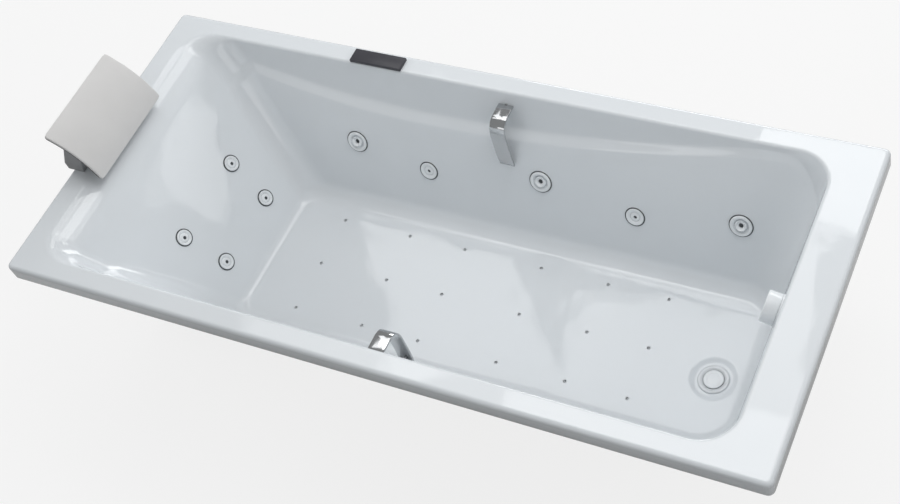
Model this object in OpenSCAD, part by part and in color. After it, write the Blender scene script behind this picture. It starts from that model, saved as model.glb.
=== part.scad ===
// Drop-in jetted bathtub on its own levelling frame.
// The head end is at -X, the foot end at +X, the wall side at +Y and the open side at -Y.
// The origin is on the floor, under the middle of the whole part.

/* [Basin] */
// Overall length over the rim
bath_l = 1800; // [1700:10:1900]
// Overall width over the rim
bath_w = 800; // [780:5:860]
// Height of the rim's top above the floor
rim_h = 560; // [545:5:600]
// Depth of the basin under the rim
basin_d = 362; // [350:2:376]
// Thickness of the moulded shell
shell_t = 6; // [5:0.5:7]
// Height of the rim's turned-down skirt
skirt_h = 42; // [34:1:56]
// Width of the rim along each long side
rim_side = 50; // [48:1:60]
// Width of the rim at the foot end
rim_foot = 100; // [94:1:120]
// From the head end's edge to where the line of the backrest meets the rim's plane
rim_head = 95; // [90:1:110]
// How far the backrest leans in over the depth
back_run = 257; // [240:1:275]
// How far each long wall leans in over the depth
side_run = 147; // [136:1:160]
// How far the foot wall leans in over the depth
foot_run = 94; // [80:1:110]
// Radius of the inner edge of the rim, on the sides and the foot
edge_r = 9; // [8:0.5:12]
// Radius of the roll that leads from the rim into the backrest
back_roll_r = 110; // [80:5:130]
// Radius between the floor and the long walls
fillet_side = 50; // [35:1:60]
// Radius between the floor and the foot wall
fillet_foot = 36; // [30:1:42]
// Radius between the floor and the backrest
fillet_back = 28; // [20:1:40]
// Corner radius of the basin at the foot end, seen from above
corner_foot = 80; // [65:1:95]
// Corner radius of the basin at the head end, seen from above
corner_head = 62; // [55:1:75]
// Corner radius of the rim's outer edge, seen from above
corner_out = 14; // [12:1:24]

/* [Armrest line] */
// Depth of the armrest line at its lowest
ledge_d = 98; // [80:1:110]
// Where it is lowest, from the bath's middle
ledge_x = -200; // [-260:10:-120]
// Height over which the wall steps in below the line
ledge_w = 24; // [16:1:30]
// How steep the wall is above the line, in lean per unit of depth
ledge_lean = 0.27; // [0.22:0.01:0.32]

/* [Jets] */
// From the head end's edge to the first side jet
jet_first = 514; // [505:1:525]
// From the foot end's edge to the last side jet
jet_last = 299; // [290:1:310]
// Height of the upper row of side jets above the basin's floor
jet_upper_h = 160; // [147:1:170]
// Height of the lower row of side jets above the basin's floor
jet_lower_h = 124; // [112:1:132]
// Radius of a large side jet's flange
jet_big_r = 29; // [27:0.5:31]
// Radius of a small side jet's flange
jet_small_r = 25; // [23:0.5:26]
// Radius of a back jet's flange
jet_back_r = 22; // [21:0.5:24]
// Radius of a large jet's ball
ball_r = 15; // [13:0.5:16]
// Resting upward tilt of a large jet's ball
ball_rest = 10; // [0:1:14]
// Distance of the upper back jets from the middle
back_jet_upper_y = 116; // [105:1:130]
// Distance of the lower back jets from the middle
back_jet_lower_y = 100; // [80:1:115]
// Height of the upper back jets above the basin's floor
back_jet_upper_h = 171; // [162:1:180]
// Height of the lower back jets above the basin's floor
back_jet_lower_h = 73; // [70:1:82]
// From the head end's edge to the first floor air nozzles
air_first = 493; // [485:1:505]
// From the foot end's edge to the last floor air nozzles
air_last = 441; // [430:1:450]
// From the foot of a long wall to the outer rows of floor air nozzles
air_row_in = 69; // [63:1:77]
// Radius of a floor air nozzle's head
air_head_r = 4.5; // [3.5:0.5:6]

/* [Waste and overflow] */
// From the foot end's edge to the waste's middle
waste_in = 276; // [270:1:290]
// Place of the waste across the bath
waste_y = -33; // [-45:1:0]
// Radius of the dish that is pressed into the floor
dish_r = 52; // [48:1:54]
// Depth of that dish
dish_d = 5; // [3:0.5:6]
// Radius of the waste flange
flange_r = 36; // [33:0.5:38]
// Radius of the plug
plug_r = 22.5; // [20:0.5:25]
// How far the plug lifts
plug_lift = 9; // [6:0.5:12]
// Depth of the overflow's middle
overflow_d = 66; // [62:1:80]
// Radius of the overflow knob
knob_r = 34; // [30:0.5:36]
// How far the knob stands out of the wall
knob_reach = 33; // [28:1:36]

/* [Fittings] */
// Length of the control panel
panel_l = 137; // [120:1:160]
// Width of the control panel
panel_w = 38; // [34:1:40]
// Height of the control panel above the rim
panel_t = 8; // [6:0.5:12]
// Place of the control panel's middle along the bath
panel_x = -311; // [-330:1:-290]
// Place of the grips along the bath
grip_x = 30; // [10:1:50]
// Width of a grip's strap
grip_w = 38; // [32:1:44]
// Thickness of a grip's strap
grip_t = 5; // [4:0.5:7]
// Width of the headrest pad
pad_w = 250; // [220:5:270]
// Thickness of the headrest pad at its edge
pad_t = 14; // [10:1:18]
// How much thicker the pad is in its middle
pad_crown = 5; // [2:1:8]

/* [Frame] */
// Width of the frame's square tube
tube_w = 30; // [25:1:32]
// Wall of the frame's square tube
tube_t = 2; // [1.5:0.5:3]
// From the rim's long edge to the line of the feet
foot_in = 255; // [250:1:265]
// Height of the underside of the frame above the floor
frame_z = 40; // [36:1:48]
// Thickness of the board that is laminated under the floor
board_t = 18; // [15:1:20]
// Radius of a foot's threaded stud
stud_r = 6; // [5:0.5:8]
// Radius of a foot's pad
foot_r = 25; // [22:1:30]
// How far a foot screws up or down from rest
foot_travel = 12; // [8:1:13]
// Thickness of the equipment trays
tray_t = 3; // [2:0.5:4]

/* [Pump and pipes] */
// Outer radius of the water pipes between the jets
pipe_r = 12.5; // [11:0.5:13]
// Outer radius of the suction pipe
suction_r = 25; // [22:0.5:26]
// Radius of the pump's casing
pump_r = 70; // [66:1:74]
// Radius of the pump's motor
motor_r = 60; // [54:1:64]
// Length of the pump's motor
motor_l = 190; // [170:5:200]
// Radius of the blower's casing
blower_r = 47; // [42:1:48]
// Height of the blower's casing
blower_h = 120; // [100:2:130]
// Outer radius of the air pipes
air_pipe_r = 11; // [10:0.5:12]

/* [Hidden] */

$fn = 64;
eps = 0.01;
seat = 0.3;        // gap between a piece and the curved face that it lies against
run_gap = 0.05;    // radial clearance of a running fit
thread_gap = 0.5;  // radial clearance of a fixed fitting in its hole

acrylic = [0.93, 0.94, 0.95];
white_plastic = [0.9, 0.91, 0.92];
grey_plastic = [0.55, 0.57, 0.58];
dark_plastic = [0.2, 0.2, 0.22];
chrome = [0.75, 0.77, 0.79];
zinc = [0.62, 0.64, 0.66];

// The headrest's bracket stands out past the head end, so the bath sits half of that towards
// +X, and the whole part is centred on the origin.
bracket_out = 12;
tub_x = bracket_out / 2;

// The ends of the rim, from the bath's middle
head_x = -bath_l / 2;
end_x = bath_l / 2;

// Leans of the three kinds of wall, as horizontal run per unit of depth, and their angles
s_side = side_run / basin_d;
s_foot = foot_run / basin_d;
s_back = back_run / basin_d;
a_side = atan(s_side);
a_foot = atan(s_foot);
a_back = atan(s_back);

// The wall planes, as functions of the depth d under the rim and the distance off outside
// the basin's own surface. The frame here is the rim's: z = 0 is its top.
function slant(s) = sqrt(1 + s * s);
function side_y(d, off = 0) = bath_w / 2 - rim_side - s_side * d + off * slant(s_side);
function foot_x(d, off = 0) = bath_l / 2 - rim_foot - s_foot * d + off * slant(s_foot);
function back_x(d, off = 0) = -(bath_l / 2 - rim_head) + s_back * d - off * slant(s_back);

// The armrest line: two half parabolas that rise from its lowest point to the rim
ledge_half_head = ledge_x - head_x;
ledge_half_foot = end_x;
function ledge_at(x) =
  let (half = x > ledge_x ? ledge_half_foot : ledge_half_head)
  ledge_d * (1 - pow((x - ledge_x) / half, 2));
function smooth(t) = let (u = max(0, min(1, t))) u * u * (3 - 2 * u);

// A section through a wall runs from the rim roll, down the wall and round the floor fillet.
// Each point is [inset, depth]. Levels 0 to 3 are the roll, 4 to 9 the armrest, 10 to 14 the fillet.
FOOT = 0;
BACK = 1;
SIDE = 2;
lean = [s_foot, s_back, s_side];
roll = [edge_r, back_roll_r, edge_r];
fillet = [fillet_foot, fillet_back, fillet_side];
n_roll = 3;
n_ledge = 6;
n_fillet = 4;
n_level = n_roll + n_ledge + n_fillet + 2;

function dip(k) = atan2(1, lean[k]);
function wall_inset(k, d, off) = lean[k] * d - off * slant(lean[k]);
function roll_end(k, off) = off + (roll[k] - off) * (1 - cos(dip(k)));
function ledge_low(x, off) = max(ledge_at(x), roll_end(SIDE, off) + edge_r);
function ledge_depths(k, off, x) =
  let (top = roll_end(k, off), low = k == SIDE ? ledge_low(x, off) : top)
  k == SIDE
  ? [(top + low) / 2, for (i = [0:4]) low + ledge_w * i / 4]
  : [for (i = [1:n_ledge]) top + (max(ledge_d + ledge_w, top + edge_r) - top) * i / n_ledge];
// How far the side wall stands back above the armrest line
function stand_back(d, x) =
  let (low = max(ledge_at(x), roll_end(SIDE, 0) + edge_r))
  (s_side - ledge_lean) * min(d, low) * (1 - smooth((d - low) / ledge_w));
function section(k, j, off, x) =
  let (
    r = j <= n_roll ? roll[k] - off : fillet[k] + off,
    t = r * tan(dip(k) / 2),
    a = j <= n_roll ? dip(k) * j / n_roll : dip(k) * (n_level - 1 - j) / n_fillet,
    deep = basin_d + off,
    p = j <= n_roll
      ? [wall_inset(k, off, off) - t + r * sin(a), off + r * (1 - cos(a))]
      : j <= n_roll + n_ledge
      ? let (d = ledge_depths(k, off, x)[j - n_roll - 1]) [wall_inset(k, d, off), d]
      : [wall_inset(k, deep, off) + t - r * sin(a), deep - r * (1 - cos(a))]
  )
  [p[0] - (k == SIDE ? stand_back(p[1], x) : 0), p[1]];
// How far a level of a section lies inside the plane of its wall
function drawn_in(k, j, off) =
  let (p = section(k, j, off, bath_l)) p[0] - wall_inset(k, p[1], off);

// One closed ring of points round the basin: the far half, then the near half mirrored.
// side(x) gives [y, depth] on the long side.
corner_steps = 6;
side_steps = 12;
function mix(a, b, t) = a + (b - a) * t;
function half_ring(xf, xh, rf, rh, zf, zh, ys, zs) = [
  for (i = [0:corner_steps])
    let (q = 90 * i / corner_steps)
    [xf - rf + rf * cos(q), ys[0] - rf + rf * sin(q), mix(zf, zs[0], pow(sin(q), 2))],
  for (i = [1:side_steps - 1])
    [mix(xf - rf, xh + rh, i / side_steps), ys[i], zs[i]],
  for (i = [0:corner_steps])
    let (q = 90 * i / corner_steps)
    [xh + rh - rh * sin(q), ys[side_steps] - rh + rh * cos(q),
     mix(zh, zs[side_steps], pow(cos(q), 2))]
];
function whole_ring(h) = concat(h, [for (i = [len(h) - 1:-1:0]) [h[i][0], -h[i][1], h[i][2]]]);
function basin_ring(j, off) =
  let (
    f = section(FOOT, j, off, 0),
    b = section(BACK, j, off, 0),
    xf = bath_l / 2 - rim_foot - f[0],
    xh = -(bath_l / 2 - rim_head) + b[0],
    in_side = drawn_in(SIDE, j, off),
    rf = corner_foot + off + edge_r * f[1] / basin_d - (drawn_in(FOOT, j, off) + in_side) / 2,
    rh = corner_head + off - (drawn_in(BACK, j, off) + in_side) / 2,
    s = [for (i = [0:side_steps]) section(SIDE, j, off, mix(xf - rf, xh + rh, i / side_steps))]
  )
  whole_ring(half_ring(xf, xh, rf, rh, -f[1], -b[1],
    [for (p = s) bath_w / 2 - rim_side - p[0]], [for (p = s) -p[1]]));
function rim_ring(inset, z) =
  let (r = max(corner_out - inset, 1), y = bath_w / 2 - inset, x = bath_l / 2 - inset)
  whole_ring(half_ring(x, -x, r, r, z, z,
    [for (i = [0:side_steps]) y], [for (i = [0:side_steps]) z]));

outer_roll = edge_r;
shell_rings = concat(
  [for (j = [n_level - 1:-1:0]) basin_ring(j, 0)],
  [for (a = [0, 45, 90]) rim_ring(outer_roll * (1 - sin(a)), -outer_roll * (1 - cos(a)))],
  [rim_ring(0, -skirt_h), rim_ring(shell_t, -skirt_h), rim_ring(shell_t, -shell_t)],
  [for (j = [0:n_level - 1]) basin_ring(j, shell_t)]
);

// A closed skin through a stack of rings with flat ends. An end is closed by strips that each
// join one step of the far half to its mirrored step.
function end_faces(n, first) = [
  for (i = [0:n / 2 - 2]) [first + i, first + i + 1, first + n - i - 2, first + n - i - 1]
];
function turned(faces) = [for (f = faces) [for (q = [len(f) - 1:-1:0]) f[q]]];
module skin(rings) {
  n = len(rings[0]);
  m = len(rings);
  polyhedron(
    points = [for (r = rings) each r],
    faces = concat(
      turned(end_faces(n, 0)),
      [for (j = [0:m - 2], i = [0:n - 1])
        let (a = j * n + i, b = j * n + (i + 1) % n) each [[a, b + n, a + n], [a, b, b + n]]],
      end_faces(n, (m - 1) * n)
    )
  );
}

// Places on the bath: children are drawn with z = 0 on the wall's own surface and +Z into
// the basin
module at_rim(x = 0, y = 0, d = 0) {
  translate([tub_x + x, y, rim_h - d]) children();
}
module on_side(x, d, side) {
  at_rim(x, side * side_y(d), d) rotate([side * (90 - a_side), 0, 0]) children();
}
module on_back(y, d) {
  at_rim(back_x(d), y, d) rotate([0, 90 - a_back, 0]) children();
}
module on_foot(y, d) {
  at_rim(foot_x(d), y, d) rotate([0, -(90 - a_foot), 0]) children();
}

// Points at height h over the walls, in the rim's frame
function side_pt(x, d, side, h) =
  [x, side * (side_y(d) - h * cos(a_side)), -d + h * sin(a_side)];
function back_pt(y, d, h) = [back_x(d) + h * cos(a_back), y, -d + h * sin(a_back)];

// A cylinder, or with ri a tube, from p to q, shortened at each end
module rod(p, q, r, ri = 0, trim_p = 0, trim_q = 0) {
  v = q - p;
  l = norm(v);
  translate(p) rotate([0, acos(v[2] / l), atan2(v[1], v[0])])
    translate([0, 0, trim_p]) difference() {
      cylinder(r = r, h = l - trim_p - trim_q);
      if (ri > 0) translate([0, 0, -eps]) cylinder(r = ri, h = l - trim_p - trim_q + 2 * eps);
    }
}
// A flexible hose: a round section swept along a path with rounded corners
hose_sides = 20;
corner_points = 8;
function unit(v) = v / norm(v);
function rounded(path, r) = [
  path[0],
  for (i = [1:len(path) - 2])
    let (c = path[i], a = c + unit(path[i - 1] - c) * r, b = c + unit(path[i + 1] - c) * r)
    for (k = [0:corner_points])
      let (t = k / corner_points) (1 - t) * (1 - t) * a + 2 * t * (1 - t) * c + t * t * b,
  path[len(path) - 1]
];
function headings(p) = [
  for (i = [0:len(p) - 1]) unit(unit(p[min(i + 1, len(p) - 1)] - p[min(i, len(p) - 2)])
    + unit(p[max(i, 1)] - p[max(i - 1, 0)]))
];
// Side directions that turn as little as possible along the path
function sides_along(h, u, i = 0) =
  i == len(h) ? [] : let (w = unit(u - (u * h[i]) * h[i])) concat([w], sides_along(h, w, i + 1));
module hose(path, corner_r, r) {
  p = rounded(path, corner_r);
  h = headings(p);
  u = sides_along(h, abs(h[0][2]) > 0.9 ? [1, 0, 0] : [0, 0, 1]);
  n = hose_sides;
  m = len(p);
  polyhedron(
    points = [
      for (i = [0:m - 1], k = [0:n - 1])
        p[i] + r * (cos(360 * k / n) * u[i] + sin(360 * k / n) * cross(h[i], u[i]))
    ],
    faces = concat(
      [[for (k = [0:n - 1]) k]],
      [for (i = [0:m - 2], k = [0:n - 1])
        let (a = i * n + k, b = i * n + (k + 1) % n) each [[a, a + n, b + n], [a, b + n, b]]],
      [[for (k = [n - 1:-1:0]) (m - 1) * n + k]]
    )
  );
}

// Places of the jets. Large jets lie in the upper row and small ones between them in the lower.
// Jets and nozzles between the first and the last keep their share of the way.
jet_x = [for (way = [0, 197, 498, 735, 987] / 987) mix(head_x + jet_first, end_x - jet_last, way)];
jet_upper_d = basin_d - jet_upper_h;
jet_lower_d = basin_d - jet_lower_h;
back_jet_upper_d = basin_d - back_jet_upper_h;
back_jet_lower_d = basin_d - back_jet_lower_h;
big = [0, 2, 4];
small = [1, 3];
function jet_d(i) = i % 2 == 0 ? jet_upper_d : jet_lower_d;
air_row_y = side_y(basin_d) - air_row_in;
air_x = [for (way = [0, 186, 338, 543, 715, 866] / 866) mix(head_x + air_first, end_x - air_last, way)];
air_y = [-air_row_y, 0, air_row_y];
back_jets = [
  [back_jet_upper_y, back_jet_upper_d], [-back_jet_upper_y, back_jet_upper_d],
  [back_jet_lower_y, back_jet_lower_d], [-back_jet_lower_y, back_jet_lower_d]
];

// Sizes inside the jets
flange_t = 1.5;
big_barrel_r = jet_big_r - 7;
small_barrel_r = 16;
ball_z = -3;              // centre of the ball, under the wall's surface
bezel_r = jet_big_r - 2;
bezel_t = 3.5;
socket_r = big_barrel_r - 3;
socket_d = 22;
waste_x = end_x - waste_in;
barrel_l = 44;
water_line = 32;          // depth of the water pipes behind the wall's surface
stub_l = 40;              // reach of a pipe stub from the jet's axis
spin_r = 12;
nut_t = 10;

// Grips: points of the strap's middle line, from its top foot to its bottom foot, [out, depth]
grip_top_d = 34;
grip_bottom_d = 172;
grip_reach = 76;          // from the rim's inner line to the face of the strap
function bezier(p, t) =
  pow(1 - t, 3) * p[0] + 3 * pow(1 - t, 2) * t * p[1] + 3 * (1 - t) * t * t * p[2] + t * t * t * p[3];
function grip_wall(d) = side_y(d) + stand_back(d, grip_x);
inner_y = bath_w / 2 - rim_side;
nose_y = inner_y - grip_reach;
grip_line = concat(
  [[grip_wall(grip_top_d) - seat, grip_top_d]],
  [for (i = [0:10]) bezier([[nose_y + 34, grip_top_d], [nose_y + 8, grip_top_d],
    [nose_y + 1, grip_top_d + 16], [nose_y, grip_top_d + 50]], i / 10)],
  [for (i = [1:6]) bezier([[nose_y, grip_top_d + 50], [nose_y - 1, grip_top_d + 90],
    [nose_y - 2, grip_bottom_d - 26], [side_y(grip_bottom_d) - grip_t, grip_bottom_d]], i / 6)]
);
grip_stud_r = 4;
grip_stud_top = grip_top_d;
grip_stud_bottom = grip_bottom_d - 8;

// Headrest: the pad's middle line, [x, z] over the rim, and its bracket
pad_low = [head_x + 104, 14];
pad_high = [head_x + 7, 139];
pad_bow = 17;
bracket_y = 96;
bracket_w = 36;
pin_r = 5;
pin_x = head_x + 18;
pin_l = 24;

// Frame: cross rails on the feet, long rails on the cross rails, posts under the board and under
// the head end of the rim. Two cross rails reach out to the wall side and carry the shelf.
floor_z = rim_h - basin_d - shell_t;
board_z = floor_z - board_t;
batten_y = bath_w / 2 - shell_t - 3 - tube_w / 2;
batten_h = 20;
last_cross_x = waste_x - 84;
cross_step = 360;
cross_x = [head_x + 30, head_x + 300, last_cross_x - 2 * cross_step, last_cross_x - cross_step, last_cross_x];
foot_y = bath_w / 2 - foot_in;
foot_places = [cross_x[1], cross_x[4]];
rail_y = air_row_y / 2;
post_x = [back_x(basin_d) + 148, 0, waste_x - 224];
head_batten_low = bracket_y + 34;
head_batten_high = bath_w / 2 - 80;
head_post_y = head_batten_low + 25;
cross_top = frame_z + tube_w;
rail_top = cross_top + tube_w;
shelf_reach = bath_w / 2 - 14;
tray_z = rail_top + tray_t;
shelf_z = cross_top + tray_t;

// Pump and blower
main_gap = 75.6;          // from the backrest's surface at the upper back jets to the ring main
pump_x = back_x(back_jet_upper_d) - main_gap;
pump_z = tray_z + pump_r + 8;
casing_w = 62;
casing_y = -60;
impeller_r = pump_r - 16;
shaft_r = 8;
header_x = air_x[5] + 53;
blower_x = header_x - 80;
blower_band = 3;          // how far the band round the blower's casing stands out
blower_y = shelf_reach - 2 - tray_t - blower_band - blower_r - 1;
fan_r = blower_r - 14;
box_l = 190;
box_w = 116;
box_h = 140;
box_x = blower_x - blower_r - blower_band - 19 - box_l / 2;
box_y = shelf_reach - 10 - box_w / 2;
suction_x = jet_x[0] + 86;
suction_d = basin_d - 77;
suction_line = 30;        // depth of the suction pipe behind the near wall's surface
air_z = board_z - 8 - air_pipe_r;

module tub_shell() color(acrylic) difference() {
  union() {
    at_rim() skin(shell_rings);
    // the floor is thicker round the waste, where the dish is pressed in
    at_rim(waste_x, waste_y, basin_d + shell_t + dish_d)
      cylinder(r = dish_r + shell_t, h = dish_d + shell_t / 2);
  }
  // the dish's cone runs on above the floor, where it meets the fillet of the foot wall
  at_rim(waste_x, waste_y, basin_d + dish_d)
    cylinder(r1 = dish_r - 2 * dish_d, r2 = dish_r + dish_d, h = 1.5 * dish_d);
  at_rim(waste_x, waste_y, basin_d + 2 * shell_t + dish_d)
    cylinder(r = plug_r + 2, h = 3 * shell_t);
  for (side = [-1, 1]) {
    for (i = big) on_side(jet_x[i], jet_d(i), side)
      translate([0, 0, -2 * shell_t]) cylinder(r = big_barrel_r + thread_gap, h = 3 * shell_t);
    for (i = small) on_side(jet_x[i], jet_d(i), side)
      translate([0, 0, -2 * shell_t]) cylinder(r = small_barrel_r + thread_gap, h = 3 * shell_t);
    for (d = [grip_stud_top, grip_stud_bottom]) on_grip(d, side)
      translate([0, 0, -3 * shell_t]) cylinder(r = grip_stud_r + thread_gap, h = 5 * shell_t);
    at_rim(pin_x, side * bracket_y, 3 * shell_t) cylinder(r = pin_r + run_gap, h = 5 * shell_t);
  }
  for (p = back_jets) on_back(p[0], p[1])
    translate([0, 0, -2 * shell_t]) cylinder(r = small_barrel_r + thread_gap, h = 3 * shell_t);
  for (x = air_x, y = air_y) at_rim(x, y, basin_d + 2 * shell_t)
    cylinder(r = 3 + thread_gap, h = 3 * shell_t, $fn = 24);
  on_foot(0, overflow_d) translate([0, 0, -2 * shell_t]) cylinder(r = 24 + thread_gap, h = 3 * shell_t);
  on_side(suction_x, suction_d, -1)
    translate([0, 0, -2 * shell_t]) cylinder(r = 30 + thread_gap, h = 3 * shell_t);
  at_rim(panel_x, bath_w / 2 - 26, 3 * shell_t) cylinder(r = 8 + thread_gap, h = 5 * shell_t);
}

module base_board() color([0.78, 0.72, 0.58]) difference() {
  hull() for (x = [back_x(basin_d) + 70, waste_x - dish_r - 60], y = [-1, 1])
    at_rim(x, y * (side_y(basin_d) - 66), basin_d + shell_t + board_t) cylinder(r = 24, h = board_t);
  for (x = air_x, y = air_y) at_rim(x, y, basin_d + shell_t + board_t + eps)
    cylinder(r = 11, h = board_t + 1);
}

module rim_battens() color([0.76, 0.62, 0.42]) {
  for (side = [-1, 1]) difference() {
    at_rim(0, side * batten_y, shell_t + batten_h / 2)
      cube([bath_l - 160, tube_w - 2, batten_h], center = true);
    if (side > 0) at_rim(panel_x, bath_w / 2 - 26, 2 * batten_h) cylinder(r = 11, h = 2 * batten_h);
  }
  head_middle = (head_batten_low + head_batten_high) / 2;
  for (side = [-1, 1]) at_rim(head_x + shell_t + tube_w / 2 + 1, side * head_middle, shell_t + batten_h / 2)
    cube([tube_w - 2, head_batten_high - head_batten_low, batten_h], center = true);
}

// A length of square tube along X
module square_tube(l) {
  rotate([90, 0, 90]) linear_extrude(l, center = true) difference() {
    square(tube_w, center = true);
    square(tube_w - 2 * tube_t, center = true);
  }
}

module frame_cross_rails() color(zinc) for (i = [0:4]) difference() {
  low = -(i == 0 ? head_post_y : foot_y) - tube_w / 2;
  high = i > 2 ? shelf_reach : -low;
  translate([tub_x + cross_x[i], (low + high) / 2, frame_z + tube_w / 2]) rotate([0, 0, 90])
    square_tube(high - low);
  if (i == 1 || i == 4) for (side = [-1, 1]) translate([tub_x + cross_x[i], side * foot_y, frame_z - eps])
    cylinder(r = stud_r + run_gap, h = tube_w + 1);
}

module frame_rails() color(zinc) for (side = [-1, 1])
  translate([tub_x + (cross_x[0] + cross_x[4]) / 2, side * rail_y, cross_top + tube_w / 2])
    square_tube(cross_x[4] - cross_x[0] + tube_w);

module frame_posts() color(zinc) {
  head_top = rim_h - shell_t - batten_h;
  for (x = post_x, side = [-1, 1])
    translate([tub_x + x, side * rail_y, (rail_top + board_z) / 2]) rotate([0, 90, 0])
      square_tube(board_z - rail_top);
  for (side = [-1, 1])
    translate([tub_x + cross_x[0], side * head_post_y, (cross_top + head_top) / 2]) rotate([0, 90, 0])
      square_tube(head_top - cross_top);
}

// A shallow tray with a lip all round
module tray(x, y, l, w) {
  lip = 14;
  translate([x, y, 0]) difference() {
    cube([l, w, lip]);
    translate([tray_t, tray_t, tray_t]) cube([l - 2 * tray_t, w - 2 * tray_t, lip]);
  }
}
module equipment_trays() color(zinc) {
  pump_tray_x = cross_x[0] + tube_w;
  pump_tray_low = casing_y - 100;
  shelf_low = foot_y + 36;
  translate([tub_x, 0, rail_top])
    tray(pump_tray_x, pump_tray_low, cross_x[1] + 2 * tube_w - pump_tray_x, casing_w + motor_l + 68);
  translate([tub_x, 0, cross_top])
    tray(cross_x[3] - tube_w / 2, shelf_low, cross_step + tube_w, shelf_reach - 2 - shelf_low);
}

module at_foot(n) {
  translate([tub_x + foot_places[n < 2 ? 0 : 1], n % 2 == 0 ? -foot_y : foot_y, 0]) children();
}
module levelling_foot(n) at_foot(n) color(dark_plastic) union() {
  cylinder(r1 = foot_r, r2 = foot_r - 1, h = 5);
  translate([0, 0, 5]) cylinder(r1 = foot_r - 1, r2 = stud_r + 3, h = 6);
  cylinder(r = stud_r + 3, h = 16, $fn = 6);
  cylinder(r = stud_r, h = rail_top - foot_travel - 2);
}

module foot_lock_nuts() color(zinc) for (n = [0:3]) at_foot(n)
  for (z = [frame_z - 6, cross_top]) translate([0, 0, z]) difference() {
    cylinder(r = stud_r * 1.75, h = 6, $fn = 6);
    translate([0, 0, -1]) cylinder(r = stud_r + run_gap, h = 8);
  }

// A bent strip hangs under the far batten and comes out below the skirt, to the wall
bracket_hole_r = 4.5;
bracket_x = 420;
bracket_l = 90;
module wall_brackets() {
  wall_y = bath_w / 2;
  t = 3;
  in_y = wall_y - shell_t - 4;
  high = -shell_t - batten_h;
  low = -skirt_h - 2;
  color(zinc) for (x = [-bracket_x, bracket_x]) difference() {
    at_rim(x - bracket_l / 2) rotate([90, 0, 90]) linear_extrude(bracket_l) polygon([
      [in_y - 28, high], [in_y, high], [in_y, low], [wall_y, low], [wall_y, low - 50],
      [wall_y - t, low - 50], [wall_y - t, low - t], [in_y - t, low - t], [in_y - t, high - t],
      [in_y - 28, high - t]
    ]);
    for (s = [-1, 1]) at_rim(x + s * 35, wall_y - 2 * t, -low + 30) rotate([-90, 0, 0])
      cylinder(r = bracket_hole_r, h = 4 * t);
  }
}

module control_panel() {
  y0 = bath_w / 2 - 13 - panel_w;
  color(dark_plastic) at_rim(panel_x, 0, 0) union() {
    hull() for (x = [-1, 1], y = [y0 + 2, y0 + panel_w - 2])
      translate([x * (panel_l / 2 - 2), y, 0]) {
        cylinder(r = 2, h = panel_t - 1, $fn = 32);
        cylinder(r = 1.2, h = panel_t, $fn = 32);
      }
    translate([0, bath_w / 2 - 26, -shell_t - batten_h - 6])
      cylinder(r = 8, h = shell_t + batten_h + 6 + eps);
  }
}

// Outward distance and depth of a strap point, offset by o to one side of the middle line
function normal_2d(p, q) = let (v = q - p) [v[1], -v[0]] / norm(v);
function strap_side(line, o) = [
  for (i = [0:len(line) - 1])
    let (a = line[max(0, i - 1)], b = line[min(len(line) - 1, i + 1)]) line[i] + o * normal_2d(a, b)
];
module on_grip(d, side) {
  at_rim(grip_x, side * grip_wall(d), d) rotate([side * (90 - a_side), 0, 0]) children();
}
module grip(side) color(chrome) {
  outline = concat(strap_side(grip_line, grip_t / 2), [
    for (i = [len(grip_line) - 1:-1:0]) strap_side(grip_line, -grip_t / 2)[i]
  ]);
  at_rim(grip_x - grip_w / 2) rotate([90, 0, 90]) linear_extrude(grip_w)
    polygon([for (p = outline) [side * p[0], -p[1]]]);
  for (s = [[grip_stud_top, 3], [grip_stud_bottom, 9]]) on_grip(s[0], side)
    translate([0, 0, -shell_t - 14]) cylinder(r = grip_stud_r, h = shell_t + 14 + s[1]);
}
module grip_nuts() color(zinc) for (side = [-1, 1], d = [grip_stud_top, grip_stud_bottom])
  on_grip(d, side) translate([0, 0, -shell_t - 7 - seat]) difference() {
    cylinder(r = grip_stud_r * 2, h = 6, $fn = 6);
    translate([0, 0, -1]) cylinder(r = grip_stud_r + run_gap, h = 8);
  }

// The pad bends over a bowed middle line from its low edge to its high edge. Its faces swell
// towards the middle and its rim draws in.
pad_along = 12;
pad_across = 14;
function pad_mid(u) =
  let (v = pad_high - pad_low, n = [v[1], -v[0]] / norm(v))
  pad_low + v * u + n * pad_bow * 4 * u * (1 - u);
function pad_normal(u) = let (v = pad_mid(u + 0.01) - pad_mid(u - 0.01)) [v[1], -v[0]] / norm(v);
function pad_half(u, w) =
  (pad_t / 2 + pad_crown * 16 * u * (1 - u) * w * (1 - w)) * pow(max(0, 1 - pow(abs(2 * w - 1), 14)), 0.3)
  * pow(max(0, 1 - pow(abs(2 * u - 1), 14)), 0.3);
function pad_pt(u, w, face) =
  let (p = pad_mid(u) + pad_normal(u) * face * pad_half(u, w))
  [p[0], (w - 0.5) * pad_w, p[1]];
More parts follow.
